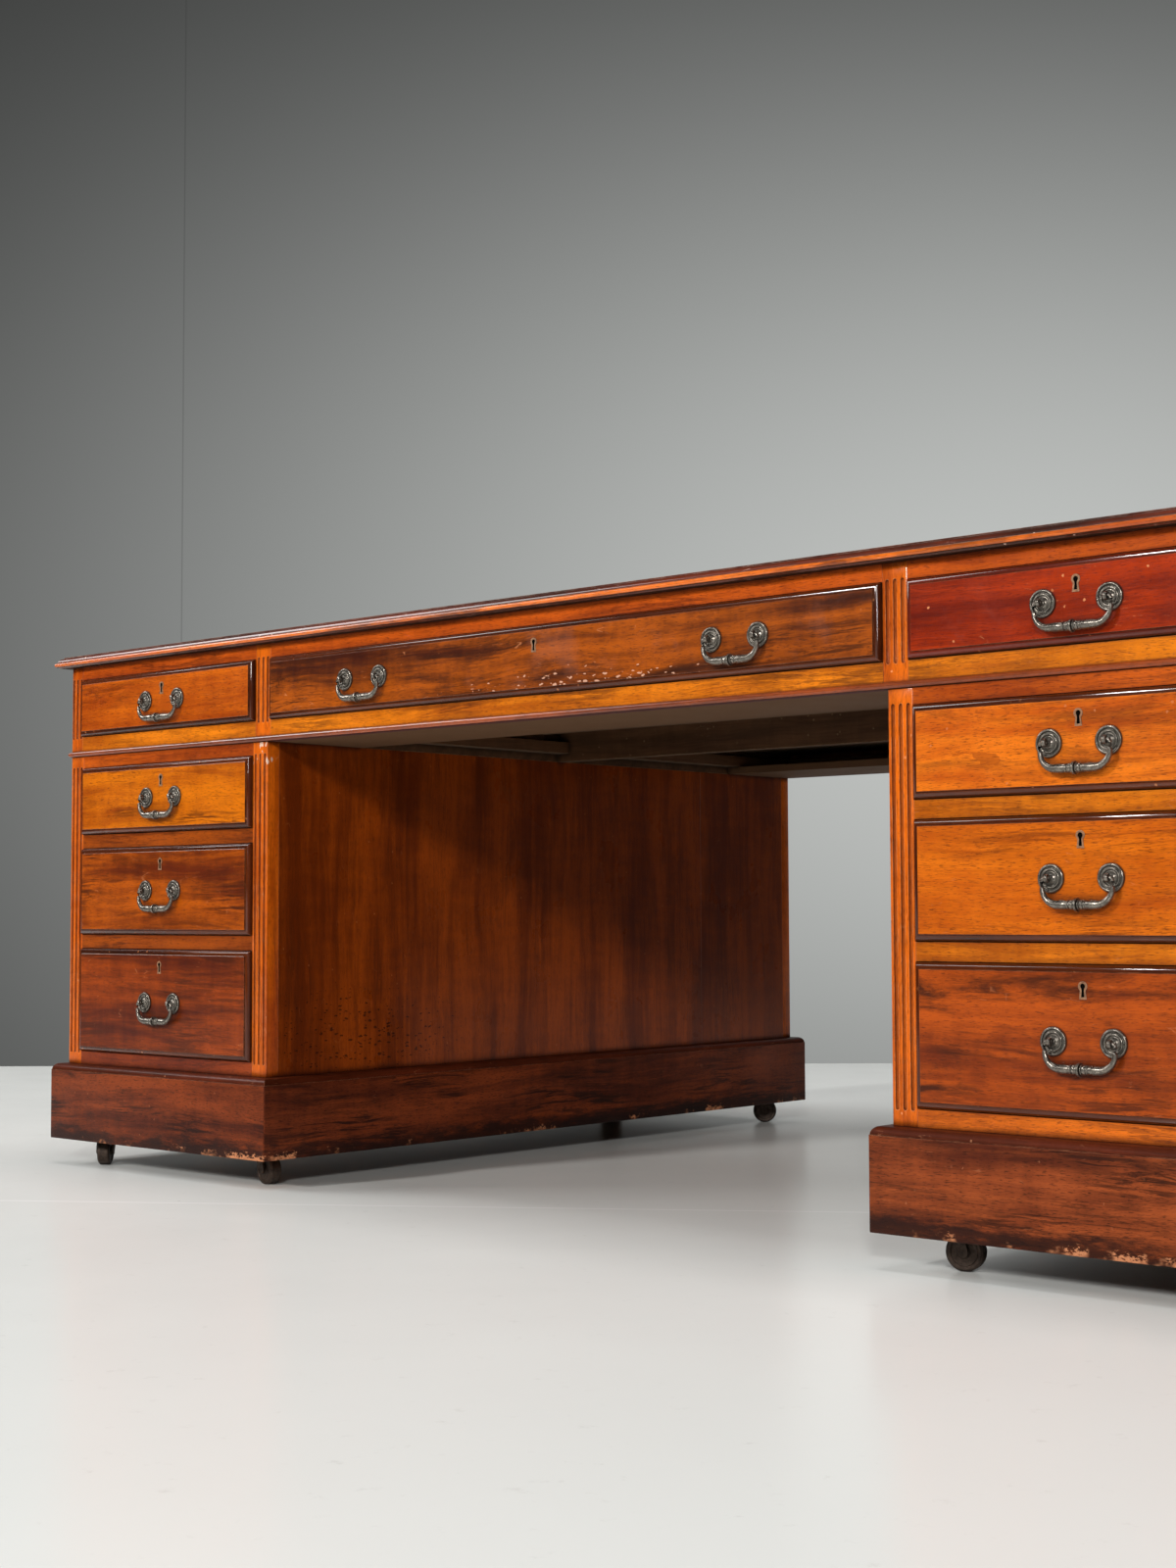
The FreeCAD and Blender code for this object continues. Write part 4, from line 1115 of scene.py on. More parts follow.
    @staticmethod
    def carved(board: Shape, tool: Shape) -> Shape:
        """Cut one mesh out of another; both are freed.

        Args:
            board: the mesh that is cut.
            tool: the volume that is cut away.

        Returns:
            What is left of the board.
        """
        solids = [link("carving", Workshop.to_mesh(shape, "carving")) for shape in (board, tool)]
        cut = solids[0].modifiers.new("cut", "BOOLEAN")
        cut.object, cut.operation, cut.solver = solids[1], "DIFFERENCE", "EXACT"
        graph = bpy.context.evaluated_depsgraph_get()
        meshes = [bpy.data.meshes.new_from_object(solids[0].evaluated_get(graph))]
        result = bmesh.new()
        result.from_mesh(meshes[0])
        for solid in solids:
            meshes.append(solid.data)
            bpy.data.objects.remove(solid)
        for mesh in meshes:
            bpy.data.meshes.remove(mesh)
        return result

    @staticmethod
    def finish(shape: Shape, name: str, finishes: list[Finish], body: str, slot: str,
               stands_for: tuple[str, ...] = ()) -> None:
        """Make a finished piece of the desk from a mesh.

        Args:
            shape: the mesh, in place, which is freed.
            name: the piece's name.
            finishes: the finish of each material place.
            body: the body that the piece moves with.
            slot: a material slot's name; not used.
            stands_for: the nodes that it replaces.
        """
        bmesh.ops.scale(shape, vec=(MM, MM, MM), verts=shape.verts)
        mesh = Workshop.to_mesh(shape, name)
        mesh.shade_smooth()
        mesh.set_sharp_from_angle(angle=SMOOTH_ANGLE)
        for finish in finishes:
            mesh.materials.append(finish.material())
        piece = link(name, mesh)
        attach(piece, body)
        if stands_for:
            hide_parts(*stands_for)
        LOG.info("%s: %d faces, rides on %s", name, len(mesh.polygons), body)


# ---------------------------------------------------------------- studio

@dataclass(frozen=True)
class Lamp:
    """Soft lamp that points at a target, unseen by the camera."""

    name: str
    place: Triple
    target: Triple
    size: tuple[float, float]
    watts: float
    colour: Colour = (1.0, 1.0, 1.0)

    def hang(self) -> None:
        """Hang the lamp."""
        data = bpy.data.lights.new(self.name, "AREA")
        data.shape = "RECTANGLE"
        data.size, data.size_y = self.size
        data.energy = self.watts
        data.color = self.colour
        lamp = link(self.name, data)
        lamp.visible_camera = False
        way = Vector(self.target) - Vector(self.place)
        aim = way.to_track_quat("-Z", "Y").to_matrix().to_4x4()
        lamp.matrix_world = Matrix.Translation(self.place) @ aim


@dataclass
class Studio:
    """Floor, wall, lamps and camera."""

    camera_place: Triple = (1.8636, -2.6159, 0.3920)
    camera_yaw: float = 0.7286
    camera_pitch: float = 0.0577
    camera_roll: float = -0.0035
    lens: float = 49.67
    film: float = 36.0
    floor_half: float = 14.0
    wall_distance: float = 5.5
    wall_half: float = 7.0
    glow_right: float = 1.25
    glow_height: float = 1.0
    world_colour: Colour = (0.62, 0.63, 0.65)
    world_strength: float = 0.05
    lamps: tuple[Lamp, ...] = (
        Lamp("key", (-2.6, -10.4, 5.7), (0.0, -0.6, 0.5), (1.1, 1.1), 610.0, (1.0, 0.985, 0.96)),
        Lamp("side", (6.5, -9.3, 4.2), (0.0, -0.3, 0.4), (1.1, 1.1), 560.0, (1.0, 0.985, 0.965)),
        Lamp("left", (-4.4, -2.8, 3.6), (0.0, -0.6, 0.4), (2.6, 1.7), 126.0),
        Lamp("overhead", (0.0, -0.6, 7.0), (0.0, -0.5, 0.0), (3.0, 3.0), 195.0),
        Lamp("rear", (-0.9, 2.6, 2.6), (0.0, 0.4, 0.4), (1.0, 1.0), 46.0))

    def build(self) -> None:
        """Make the whole studio."""
        self.make_camera()
        self.make_floor()
        self.make_wall()
        for lamp in self.lamps:
            lamp.hang()
        self.make_world()

    def make_camera(self) -> None:
        """Stand the camera in front of the right pedestal, turned to the left."""
        data = bpy.data.cameras.new("camera")
        data.sensor_width = self.film
        data.lens = self.lens
        camera = link("camera", data)
        aim = (turn(self.camera_yaw, "Z") @ turn(QUARTER + self.camera_pitch, "X")
               @ turn(self.camera_roll, "Z"))
        camera.matrix_world = Matrix.Translation(self.camera_place) @ aim
        bpy.context.scene.camera = camera
        LOG.info("camera at %s", self.camera_place)

    def stage(self, name: str, half: float, matrix: Matrix, finish: Finish) -> None:
        """Put a square surface of the studio in the scene.

        Args:
            name: its name.
            half: half the length of its sides, in metres.
            matrix: where it lies.
            finish: what it is painted with.
        """
        shape = bmesh.new()
        bmesh.ops.create_grid(shape, x_segments=1, y_segments=1, size=half)
        mesh = Workshop.to_mesh(Workshop.moved(shape, matrix), name)
        mesh.materials.append(finish.material())
        link(name, mesh)

    def make_floor(self) -> None:
        """Lay the pale floor."""
        self.stage("floor", self.floor_half, Matrix(), FloorFinish(
            "floor_paint", paint=(0.87, 0.885, 0.86), scuffed=(0.52, 0.51, 0.48),
            seam=(0.99, 0.99, 0.98), roughness=0.22, seam_place=(-0.216, -0.600, 0.0),
            seam_turn=0.605))

    def make_wall(self) -> None:
        """Stand the grey wall behind the desk, square to the camera."""
        sine, cosine = math.sin(self.camera_yaw), math.cos(self.camera_yaw)
        forward, right = Vector((-sine, cosine, 0.0)), Vector((cosine, sine, 0.0))
        foot = Vector((*self.camera_place[:2], 0.0)) + forward * self.wall_distance
        middle = foot + Vector((0.0, 0.0, self.wall_half))
        glow = foot + right * self.glow_right + Vector((0.0, 0.0, self.glow_height))
        upright = Matrix.Translation(middle) @ turn(self.camera_yaw, "Z") @ turn(QUARTER, "X")
        self.stage("wall", self.wall_half, upright, WallFinish(
            "wall_paint", dark=(0.028, 0.029, 0.028), light=(0.53, 0.545, 0.53),
            bounce=(0.24, 0.24, 0.24), centre=glow, turn=self.camera_yaw,
            reach=(2.20, 1.0, 1.32), seam=-1.04))

    def make_world(self) -> None:
        """Surround everything with plain pale grey."""
        world = bpy.data.worlds.new("studio")
        bpy.context.scene.world = world
        world.use_nodes = True
        background = world.node_tree.nodes["Background"].inputs
        background["Color"].default_value = (*self.world_colour, 1.0)
        background["Strength"].default_value = self.world_strength


# ---------------------------------------------------------------- mouldings

@dataclass
class TopEdge:
    """Moulded edge of the top: a quirk, an ovolo and a nosing."""

    overhang: float = 20.5
    thickness: float = 17.0
    stick: float = 60.0
    ovolo: float = 7.0
    nose: float = 6.5
    nose_lift: float = 1.5
    nose_root: float = 1.4
    shelf: float = 0.25
    arris: float = 0.4

    def build(self) -> None:
        """Make the ring round the top."""
        high = node_box("top_edge_moulding")[1]
        half_x, half_y = high.x - self.overhang, high.y - self.overhang
        under = high.z - self.thickness
        nose_low = under + self.nose_lift
        half_nose = self.nose / 2
        nose_x = self.overhang - half_nose
        shelf_z = nose_low + self.nose
        rim = nose_x - self.shelf - self.ovolo
        inner = self.overhang - self.stick
        profile = [(inner, under), (nose_x - half_nose, under), (nose_x - self.nose_root, nose_low)]
        profile += arc((nose_x, nose_low + half_nose), half_nose, -90.0, 90.0, 10)
        profile += arc((rim, shelf_z), self.ovolo, 0.0, 90.0)
        profile += [(rim, high.z - self.arris), (rim - self.arris, high.z), (inner, high.z)]
        ring = Workshop.ring(half_x, half_y, profile)
        # Nosing faces take the bright finish and the ovolo keeps the near-black one: partly rubbed
        # polish, partly painted light on the nosing and painted shade on the ovolo.
        for face in ring.faces:
            middle = face.calc_center_median()
            out = max(abs(middle.x) - half_x, abs(middle.y) - half_y)
            if out > nose_x - 1.0 and middle.z < shelf_z + 0.1:
                face.material_index += 2
        Workshop.finish(ring, "top_edge", mitred(MOULDING, NOSING), DESK, "mahogany_moulding",
                        ("top_edge_moulding",))


@dataclass
class Bead:
    """Round bead along the foot of the frieze section."""

    proud: float = 4.5

    def build(self) -> None:
        """Make the bead round the carcass."""
        low, high = node_box("frieze_bead_moulding")
        radius = (high.z - low.z) / 2
        profile = [(0.0, low.z)]
        profile += arc((self.proud - radius, low.z + radius), radius, -90.0, 90.0, 10)
        profile += [(0.0, high.z)]
        ring = Workshop.ring(high.x - self.proud, high.y - self.proud, profile)
        Workshop.finish(ring, "frieze_bead", mitred(BEAD), DESK, "mahogany_moulding",
                        ("frieze_bead_moulding",))


@dataclass
class Plinths:
    """The two plinths, with an ovolo round their tops and blocks in their corners."""

    pedestal_width: float = 475.0
    proud: float = 20.0
    board: float = 32.0
    corner: float = 3.0
    moulding: float = 9.5
    quirk: float = 1.5
    foot_ease: float = 1.2
    step_ease: float = 0.5
    block: float = 74.0
    block_low: float = 53.4
    block_ease: float = 1.5

    def build(self) -> None:
        """Make both plinths and their corner blocks."""
        low, high = node_box("plinths")
        half_x = self.pedestal_width / 2
        half_y = high.y - self.proud
        step = high.z - self.moulding
        lip = self.proud - self.quirk
        inner = self.proud - self.board
        profile = [(inner, low.z), (self.proud - self.foot_ease, low.z),
                   (self.proud, low.z + self.foot_ease), (self.proud, step - self.step_ease),
                   (self.proud - self.step_ease, step), (lip, step)]
        profile += arc((lip - self.moulding, step), self.moulding, 0.0, 90.0)
        profile += [(inner, high.z)]
        ring = Workshop.ring(half_x, half_y, profile)
        upright = [edge for edge in ring.edges
                   if abs(edge.verts[0].co.z - edge.verts[1].co.z) > self.moulding * 2
                   and abs(edge.verts[0].co.x) > half_x + inner + 1.0]
        Workshop.round_off(ring, upright, self.corner, 3)
        for face in ring.faces:
            if face.calc_center_median().z > step - 0.6:
                face.material_index += 2
        middle = high.x - self.proud - half_x
        spots = [shift(side * middle, 0.0, 0.0) for side in SIDES]
        Workshop.finish(Workshop.merged(ring, spots), "plinth_boards", mitred(PLINTH, BASE), DESK,
                        "mahogany_plinth", ("plinths",))
        self.build_blocks(half_x + inner, half_y + inner, high.z, spots)

    def build_blocks(self, half_x: float, half_y: float, top: float, spots: list[Matrix]) -> None:
        """Make the blocks that hold the caster plates.

        Args:
            half_x: half the clear width inside a plinth.
            half_y: half the clear depth inside it.
            top: the height of the plinth's top.
            spots: the middle of each pedestal.
        """
        shape = bmesh.new()
        for x in SIDES:
            for y in SIDES:
                near = (x * (half_x - self.block), y * (half_y - self.block), self.block_low)
                far = (x * half_x, y * half_y, top)
                Workshop.board(shape, Vector(map(min, near, far)), Vector(map(max, near, far)),
                               self.block_ease)
        Workshop.finish(Workshop.merged(shape, spots), "plinth_blocks", [CASE.along(Grain.ALONG_Z)],
                        DESK, "inner_wood")


@dataclass
class FlutedStiles:
    """Uprights with three stopped flutes each, at the corners and between the drawers."""

    flutes: int = 3
    flute_radius: float = 2.4
    flute_back: float = 0.15
    pitch: float = 10.0
    thickness: float = 22.0
    margin: float = 3.0
    gap: float = 0.8
    arris: float = 0.5

    def board(self, width: float, low: float, high: float, open_low: float,
              open_high: float) -> Shape:
        """Carve one upright with its face at Y = 0 and its middle at X = 0.

        Args:
            width: its width.
            low: its lower end.
            high: its upper end.
            open_low: where the drawer opening beside it starts.
            open_high: where that opening ends.

        Returns:
            The upright.
        """
        stock = bmesh.new()
        Workshop.board(stock, (-width / 2, 0.0, low), (width / 2, self.thickness, high), self.arris)
        tool = bmesh.new()
        radius = self.flute_radius
        capsule = arc((0.0, open_low - self.margin + radius), radius, -90.0, 0.0, 4)
        capsule += arc((0.0, open_high + self.margin - radius), radius, 0.0, 90.0, 4)
        for i in range(self.flutes):
            x = self.pitch * (i - (self.flutes - 1) / 2)
            Workshop.turned(tool, capsule, shift(x, self.flute_back, 0.0), 16)
        return Workshop.carved(stock, Workshop.outward(tool))

    def build(self) -> None:
        """Make the uprights of the frieze section and of the pedestals."""
        low, high = node_box("frieze_fluted_stiles")
        front = low.y
        drawer_low, drawer_high = node_box("drawer_frieze_right")
        centre_high = node_box("drawer_frieze_centre")[1]
        span = (low.z, high.z, drawer_low.z, drawer_high.z)
        middle_width = drawer_low.x - centre_high.x - 2 * self.gap
        corner_width = high.x - drawer_high.x - self.gap
        self.place("frieze", front, [
            (self.board(middle_width, *span), [(drawer_low.x + centre_high.x) / 2]),
            (self.board(corner_width, *span), [high.x - corner_width / 2])])
        low, high = node_box("pedestal_fluted_stiles")
        lower_low, lower_high = node_box("drawer_right_lower")
        upper_high = node_box("drawer_right_upper")[1]
        width = high.x - lower_high.x - self.gap
        upright = self.board(width, low.z, high.z, lower_low.z, upper_high.z)
        places = [lower_low.x - self.gap - width / 2, high.x - width / 2]
        self.place("pedestal", front, [(upright, places)])

    def place(self, part: str, front: float, uprights: list[tuple[Shape, list[float]]]) -> None:
        """Stand copies of the uprights at both sides, front and rear.

        Args:
            part: the part of the desk that they belong to.
            front: where the front faces are along Y.
            uprights: each upright and how far from the middle its copies are.
        """
        copies = [Workshop.merged(upright, [
            turn(angle, "Z") @ shift(side * x, front, 0.0)
            for angle in (0.0, math.pi) for side in SIDES for x in places])
            for upright, places in uprights]
        Workshop.finish(Workshop.joined(copies), f"{part}_stiles", [STILE], DESK, "mahogany_stile",
                        (f"{part}_fluted_stiles",))


# ---------------------------------------------------------------- handles

@dataclass
class BailHandle:
    """Swan-neck bail with a turned bar; its pivot axis is X through the origin."""

    bore: float
    drop: float = 27.2
    bulge: float = 5.7
    neck: float = 3.4
    bend: float = 17.5
    pin: float = 3.0
    sides: int = 20

    def thickness(self, along: float) -> float:
        """Radius of the bar.

        Args:
            along: how far from its middle.

        Returns:
            The radius there.
        """
        points = [(0.0, 7.2), (0.9, 7.2), (1.3, 3.7), (2.0, 3.7), (2.3, 5.6), (3.3, 5.6),
                  (3.7, 4.2), (4.3, 4.9), (6.2, 5.3), (7.6, 4.7), (7.9, 3.9), (8.6, 3.9),
                  (9.0, 5.0), (10.0, 5.0), (10.4, 4.2), (13.5, 4.9), (18.0, 4.9), (26.0, 4.3),
                  (38.0, 3.2), (50.0, 2.5), (60.0, 2.1), (64.0, 1.9), (120.0, 1.9)]
        for (near, first), (far, second) in zip(points, points[1:]):
            if along <= far:
                return first + (second - first) * (along - near) / (far - near)
        return points[-1][1]

    def bar_stops(self, end: float, steps: int = 5) -> list[float]:
        """Where the rings and hollows of the bar need a station, out to where it bends."""
        stops = [0.0, 0.9, 1.3, 2.0, 2.3, 3.3, 3.7, 4.3, 5.2, 6.2, 7.0, 7.6, 7.9, 8.6, 9.0, 10.0,
                 10.4]
        return stops + [stops[-1] + (end - stops[-1]) * i / steps for i in range(1, steps)]

    def half_path(self) -> list[tuple[Vector, Vector, float]]:
        """Lay out half of the bail.

        Returns:
            Centre, direction and radius at each station, from the middle of the bar to a pin.
        """
        arm = self.bore / 2 + self.bulge
        flat = [(x, -self.drop) for x in self.bar_stops(arm - self.bend)]
        flat += arc((arm - self.bend, -self.drop + self.bend), self.bend, -90.0, 0.0, 14)
        flat += arc((arm - self.neck, -self.neck), self.neck, 0.0, 90.0)
        flat.append((self.bore / 2 - self.pin, 0.0))
        points = [Vector((x, 0.0, z)) for x, z in flat]
        path, gone = [], 0.0
        for i, point in enumerate(points):
            before, after = points[max(i - 1, 0)], points[min(i + 1, len(points) - 1)]
            gone += (point - before).length
            path.append((point, (after - before).normalized(), self.thickness(gone)))
        return path

    def mesh(self) -> Shape:
        """Sweep the bail about its own pivot.

        Returns:
            The bail.
        """
        half = self.half_path()
        other = [(Vector((-p.x, p.y, p.z)), Vector((w.x, w.y, -w.z)), r) for p, w, r in half[:0:-1]]
        shape = bmesh.new()
        Workshop.swept(shape, other + half, self.sides)
        return Workshop.outward(shape)


@dataclass
class Rosette:
    """Ridged back plate with the eye that holds one end of a bail; drawer face at Y = 0."""

    radius: float = 15.0
    reach: float = 9.0
    eye_radius: float = 4.6
    eye_length: float = 4.4
    eye_ease: float = 0.8
    hole: float = 2.5

    def mesh(self) -> Shape:
        """Turn the plate and set its eye on it.

        Returns:
            The rosette.
        """
        shape = bmesh.new()
        r = self.radius
        plate = [(0.0, 0.0), (r, 0.0), (r, 0.8)]
        plate += arc((r - 1.5, 1.3), 1.5, 0.0, 120.0, 6)
        plate += [(r - 3.1, 1.1), (r - 4.0, 0.9)]
        plate += arc((r - 5.5, 1.8), 1.3, 10.0, 165.0, 6)
        plate += [(r - 7.4, 1.0), (r - 8.4, 1.2), (5.2, 2.6), (4.0, 3.2), (3.4, 4.6), (0.0, 4.8)]
        Workshop.turned(shape, plate, turn(QUARTER, "X"), 40)
        half, outer, ease = self.eye_length / 2, self.eye_radius, self.eye_ease
        eye = [(self.hole, -half), (outer - ease, -half), (outer, -half + ease),
               (outer, half - ease), (outer - ease, half), (self.hole, half), (self.hole, -half)]
        Workshop.turned(shape, eye, shift(0.0, -self.reach, 0.0) @ turn(QUARTER, "Y"), 28)
        return Workshop.outward(shape)


@dataclass
class Escutcheon:
    """Keyhole lining let in flush, seen from -Y with the plate's back at Y = 0."""

    head: float = 5.1
    foot: float = 4.2
    above: float = 8.3
    below: float = 10.2
    wall: float = 2.2
    proud: float = 0.45
    sunk: float = 0.05
    hole_face: float = -0.12

    def outline(self, shrink: float, y: float) -> list[Triple]:
        """Outline of the keyhole.

        Args:
            shrink: how far it is drawn in.
            y: where it lies along Y.

        Returns:
            Its points, in order.
        """
        foot = self.foot - shrink
        middle = self.above - self.head
        waist = middle - self.head * 0.85
        base = -self.below + shrink
        points = arc((0.0, middle), self.head - shrink, -48.0, 228.0, 14)
        points += [(-foot * 0.72, waist), (-foot, base), (foot, base), (foot * 0.72, waist)]
        return [(x, y, z) for x, z in points]

    def mesh(self) -> Shape:
        """Make the lining, and a black sheet inside it that paints the shade of the keyhole's
        depth.

        Returns:
            The lining, with the black sheet of painted shade in the second material place.
        """
        shape = bmesh.new()
        rims = []
        for shrink in (0.0, self.wall):
            rims += Workshop.chain(shape, self.outline(shrink, -self.proud))[1]
        bmesh.ops.bridge_loops(shape, edges=rims)
        walls = bmesh.ops.extrude_edge_only(shape, edges=rims)["geom"]
        bmesh.ops.translate(shape, vec=(0.0, self.proud + self.sunk, 0.0),
                            verts=Workshop.pick(walls, Vert))
        # A black sheet just inside the opening: painted shade for the depth of the keyhole.
        hole = [shape.verts.new(point) for point in self.outline(self.wall, self.hole_face)]
        shape.faces.new(hole).material_index = 1
        for face in Workshop.outward(shape).faces:
            if face.material_index == 1 and face.normal.y > 0:
                face.normal_flip()
        return shape


# ---------------------------------------------------------------- drawers

@dataclass
class Drawer:
    """One drawer with everything on it, about its own middle: face of the carcass at Y = 0."""

    name: str
    finish: WoodFinish
    edging: WoodFinish
    bore: float
    handles: tuple[float, ...]
    rear: bool
    proud: float = 8.0
    thickness: float = 18.0
    rim: float = 0.6
    ovolo: float = 6.0
    ovolo_steps: int = 7
    inset: float = 7.6
    shoulder: float = 6.6
    line_foot: float = 0.35
    line_half: float = 0.15
    line_rise: float = 0.2
    depth: float = 560.0
    side: float = 10.0
    side_play: float = 0.7
    bottom: float = 6.0
    groove: float = 9.0
    hang: float = 0.5
    keyhole_depth: float = 25.0
    lock: Triple = (23.0, 9.0, 17.0)

    def build(self) -> None:
        """Make the drawer's pieces and put them in its place."""
        low, high = node_box(self.name)
        rails_low, rails_high = node_box("frieze_rails")
        face = rails_high.y if self.rear else rails_low.y
        facing = math.pi if self.rear else 0.0
        self.spot = shift((low.x + high.x) / 2, face, 0.0) @ turn(facing, "Z")
        self.width = high.x - low.x
        self.box_low = low.z
        self.low = low.z + self.hang
        self.top = high.z
        self.make_front()
        self.make_box()
        self.make_fittings()

    def fit(self, shape: Shape, part: str, finishes: list[Finish], slot: str,
            stands_for: tuple[str, ...] = ()) -> None:
        """Put one part, made about the drawer's own middle, in its place."""
        Workshop.finish(Workshop.moved(shape, self.spot), f"{self.name}_{part}", finishes,
                        self.name, slot, stands_for)

    def make_front(self) -> None:
        """Shape the front: an ovolo round a raised field."""
        shape = bmesh.new()
        half = self.width / 2
        Workshop.box(shape, (-half, -self.rim, self.low), (half, self.thickness, self.top))
        field = min(shape.faces, key=along_y)
        deep, rise = self.shoulder - self.rim, self.proud - self.rim
        stages = [((x + 1.0) * self.ovolo, z * deep)
                  for x, z in arc((0.0, 0.0), 1.0, 180.0, 90.0, self.ovolo_steps)]
        stages += [(self.inset - self.line_foot, deep),
                   (self.inset - self.line_half, rise - self.line_rise),
                   (self.inset + self.line_half, rise)]
        for (x, z), (next_x, next_z) in zip(stages, stages[1:]):
            for face in Workshop.inset(shape, field, next_x - x, next_z - z):
                upright = abs(face.calc_center_median().x) > half - next_x - 0.01
                face.material_index = 2 if upright else 1
        back = max(shape.faces, key=along_y)
        Workshop.round_off(shape, list(back.edges), 0.5, 1)
        self.fit(shape, "front", [self.finish, self.edging, self.edging.along(Grain.ALONG_Z)],
                 "mahogany_drawer", (self.name,))

    def make_box(self) -> None:
        """Board up the sides, the back and the bottom."""
        shape = bmesh.new()
        out = self.width / 2 - self.side_play
        inner = out - self.side
        top = self.top - self.inset
        for side in SIDES:
            left, right = sorted((side * inner, side * out))
            Workshop.board(shape, (left, self.thickness, self.box_low),
                           (right, self.depth, top), 0.8)
        floor = self.low + self.groove
        back = self.depth - self.side
        Workshop.board(shape, (-inner, back, floor), (inner, self.depth, top), 0.6)
        self.fit(shape, "sides", [INNER.along(Grain.ALONG_Y)], "inner_wood")
        base = bmesh.new()
        Workshop.board(base, (-inner, self.thickness, floor),
                       (inner, back, floor + self.bottom), 0.3)
        self.fit(base, "bottom", [INNER], "inner_wood")

    def make_fittings(self) -> None:
        """Fit the lock, the keyhole lining and the rosettes."""
        lock = bmesh.new()
        key = self.top - self.keyhole_depth
        half_x, deep, half_z = self.lock
        Workshop.board(lock, (-half_x, self.thickness, key - half_z),
                       (half_x, self.thickness + deep, key + half_z), 1.0)
        self.fit(lock, "lock", [STEEL], "hinge_brass")
        lining = Workshop.moved(Escutcheon().mesh(), shift(0.0, -self.proud, key))
        self.fit(lining, "escutcheon", [LINING, KEYHOLE_SHADE], "handle_metal")
        spots = [shift(x + side * self.bore / 2, -self.proud, (self.low + self.top) / 2)
                 for x in self.handles for side in SIDES]
        self.fit(Workshop.merged(Rosette().mesh(), spots), "rosettes", [HANDLE], "handle_metal")


@dataclass
class DrawerSet:
    """All the drawers and the bails that hang on them."""

    wide_bore: float = 77.0
    narrow_bore: float = 68.5
    handle_offset: float = 321.0
    first_offset: float = 11.0
    next_offset: float = 1.9

    def finishes(self) -> dict[str, WoodFinish]:
        """Choose the wood of each drawer front; the lower fronts are darker, partly their own wood
        and partly painted shade where the light falls off towards the floor.

        Returns:
            The finish of each drawer, by its name.
        """
        plain = dict(deep=(0.30, 0.055, 0.002), bright=(0.62, 0.160, 0.005),
                     streak=(0.060, 0.010, 0.001), streaks=0.8, pores=0.6)
        changes = {
            "frieze_left": dict(deep=(0.299, 0.042, 0.001), bright=(0.598, 0.119, 0.003),
                                clouds=0.2, streaks=0.45),
            "frieze_centre": dict(deep=(0.045, 0.007, 0.002), bright=(0.410, 0.083, 0.004),
                                  streak=(0.030, 0.007, 0.002), smoke=(0.036, 0.009, 0.004),
                                  clouds=0.75, streaks=0.85, knocks=1.0, blooms=0.10,
                                  mark=(0.66, 0.36, 0.24), mark_place=(0.07, -0.64, 0.676),
                                  mark_reach=(0.38, 1.0, 0.034), mark_size=0.5,
                                  mark_cells=(95.0, 95.0, 260.0)),
            "frieze_right": dict(deep=(0.173, 0.010, 0.001), bright=(0.422, 0.035, 0.002),
                                 streak=(0.09, 0.005, 0.001), streaks=0.5, knocks=1.0,
                                 clouds=0.5, smoke=(0.07, 0.004, 0.001), blooms=0.08),
            "left_upper": dict(deep=(0.269, 0.041, 0.001), bright=(0.638, 0.156, 0.002),
                               streaks=0.85),
            # The middle and lower fronts are darker: partly darker wood, partly painted shade where
            # the light falls off towards the floor.
            "left_middle": dict(deep=(0.114, 0.014, 0.001), bright=(0.471, 0.090, 0.002),
                                clouds=0.6, streaks=0.95, smoke=(0.040, 0.006, 0.001)),
            "left_lower": dict(deep=(0.065, 0.007, 0.001), bright=(0.331, 0.051, 0.002),
                               clouds=0.7, streaks=0.9, smoke=(0.030, 0.005, 0.001)),
            "right_upper": dict(deep=(0.465, 0.073, 0.003), bright=(0.800, 0.186, 0.008),
                                clouds=0.5, streaks=0.4, mark=(0.25, 0.04, 0.002),
                                mark_place=(0.64, -0.64, 0.545), mark_reach=(0.055, 1.0, 0.022),
                                mark_cells=(16.0, 60.0, 60.0), mark_size=1.4, mark_share=0.5),
            "right_middle": dict(deep=(0.432, 0.072, 0.002), bright=(0.684, 0.152, 0.004),
                                 clouds=0.12, streaks=0.5),
            "right_lower": dict(deep=(0.139, 0.017, 0.001), bright=(0.459, 0.075, 0.003),
                                clouds=0.95, streaks=0.75, smoke=(0.040, 0.007, 0.001)),
            "rear_frieze_left": {},
            "rear_frieze_centre": dict(deep=(0.20, 0.036, 0.003), bright=(0.52, 0.120, 0.005)),
            "rear_frieze_right": dict(deep=(0.28, 0.050, 0.003), bright=(0.58, 0.140, 0.005)),
        }
        made = {}
        for i, (place, change) in enumerate(changes.items()):
            kind = MarkedFinish if "mark" in change else WoodFinish
            made[f"drawer_{place}"] = kind(**{**plain, **change}, name=f"wood_of_drawer_{place}",
                                           offset=self.first_offset + self.next_offset * i)
        return made

    def build(self) -> None:
        """Make every drawer, then every bail."""
        for name, finish in self.finishes().items():
            handles = (-self.handle_offset, self.handle_offset) if "centre" in name else (0.0,)
            edging = RED_COCK if name == "drawer_frieze_right" else COCK
            Drawer(name, finish, edging, self.bore(name), handles, "rear" in name).build()
        for node in JOINTS:
            if node.startswith("bail_"):
                bail = BailHandle(self.bore(node)).mesh()
                Workshop.moved(bail, Matrix.Translation(pivot(node)))
                Workshop.finish(bail, f"{node}_bar", [HANDLE], node, "handle_metal", (node,))

    def bore(self, name: str) -> float:
        """How far apart the eyes of a drawer's handle are."""
        return self.wide_bore if "frieze" in name and "centre" not in name else self.narrow_bore


# ---------------------------------------------------------------- doors and hinges

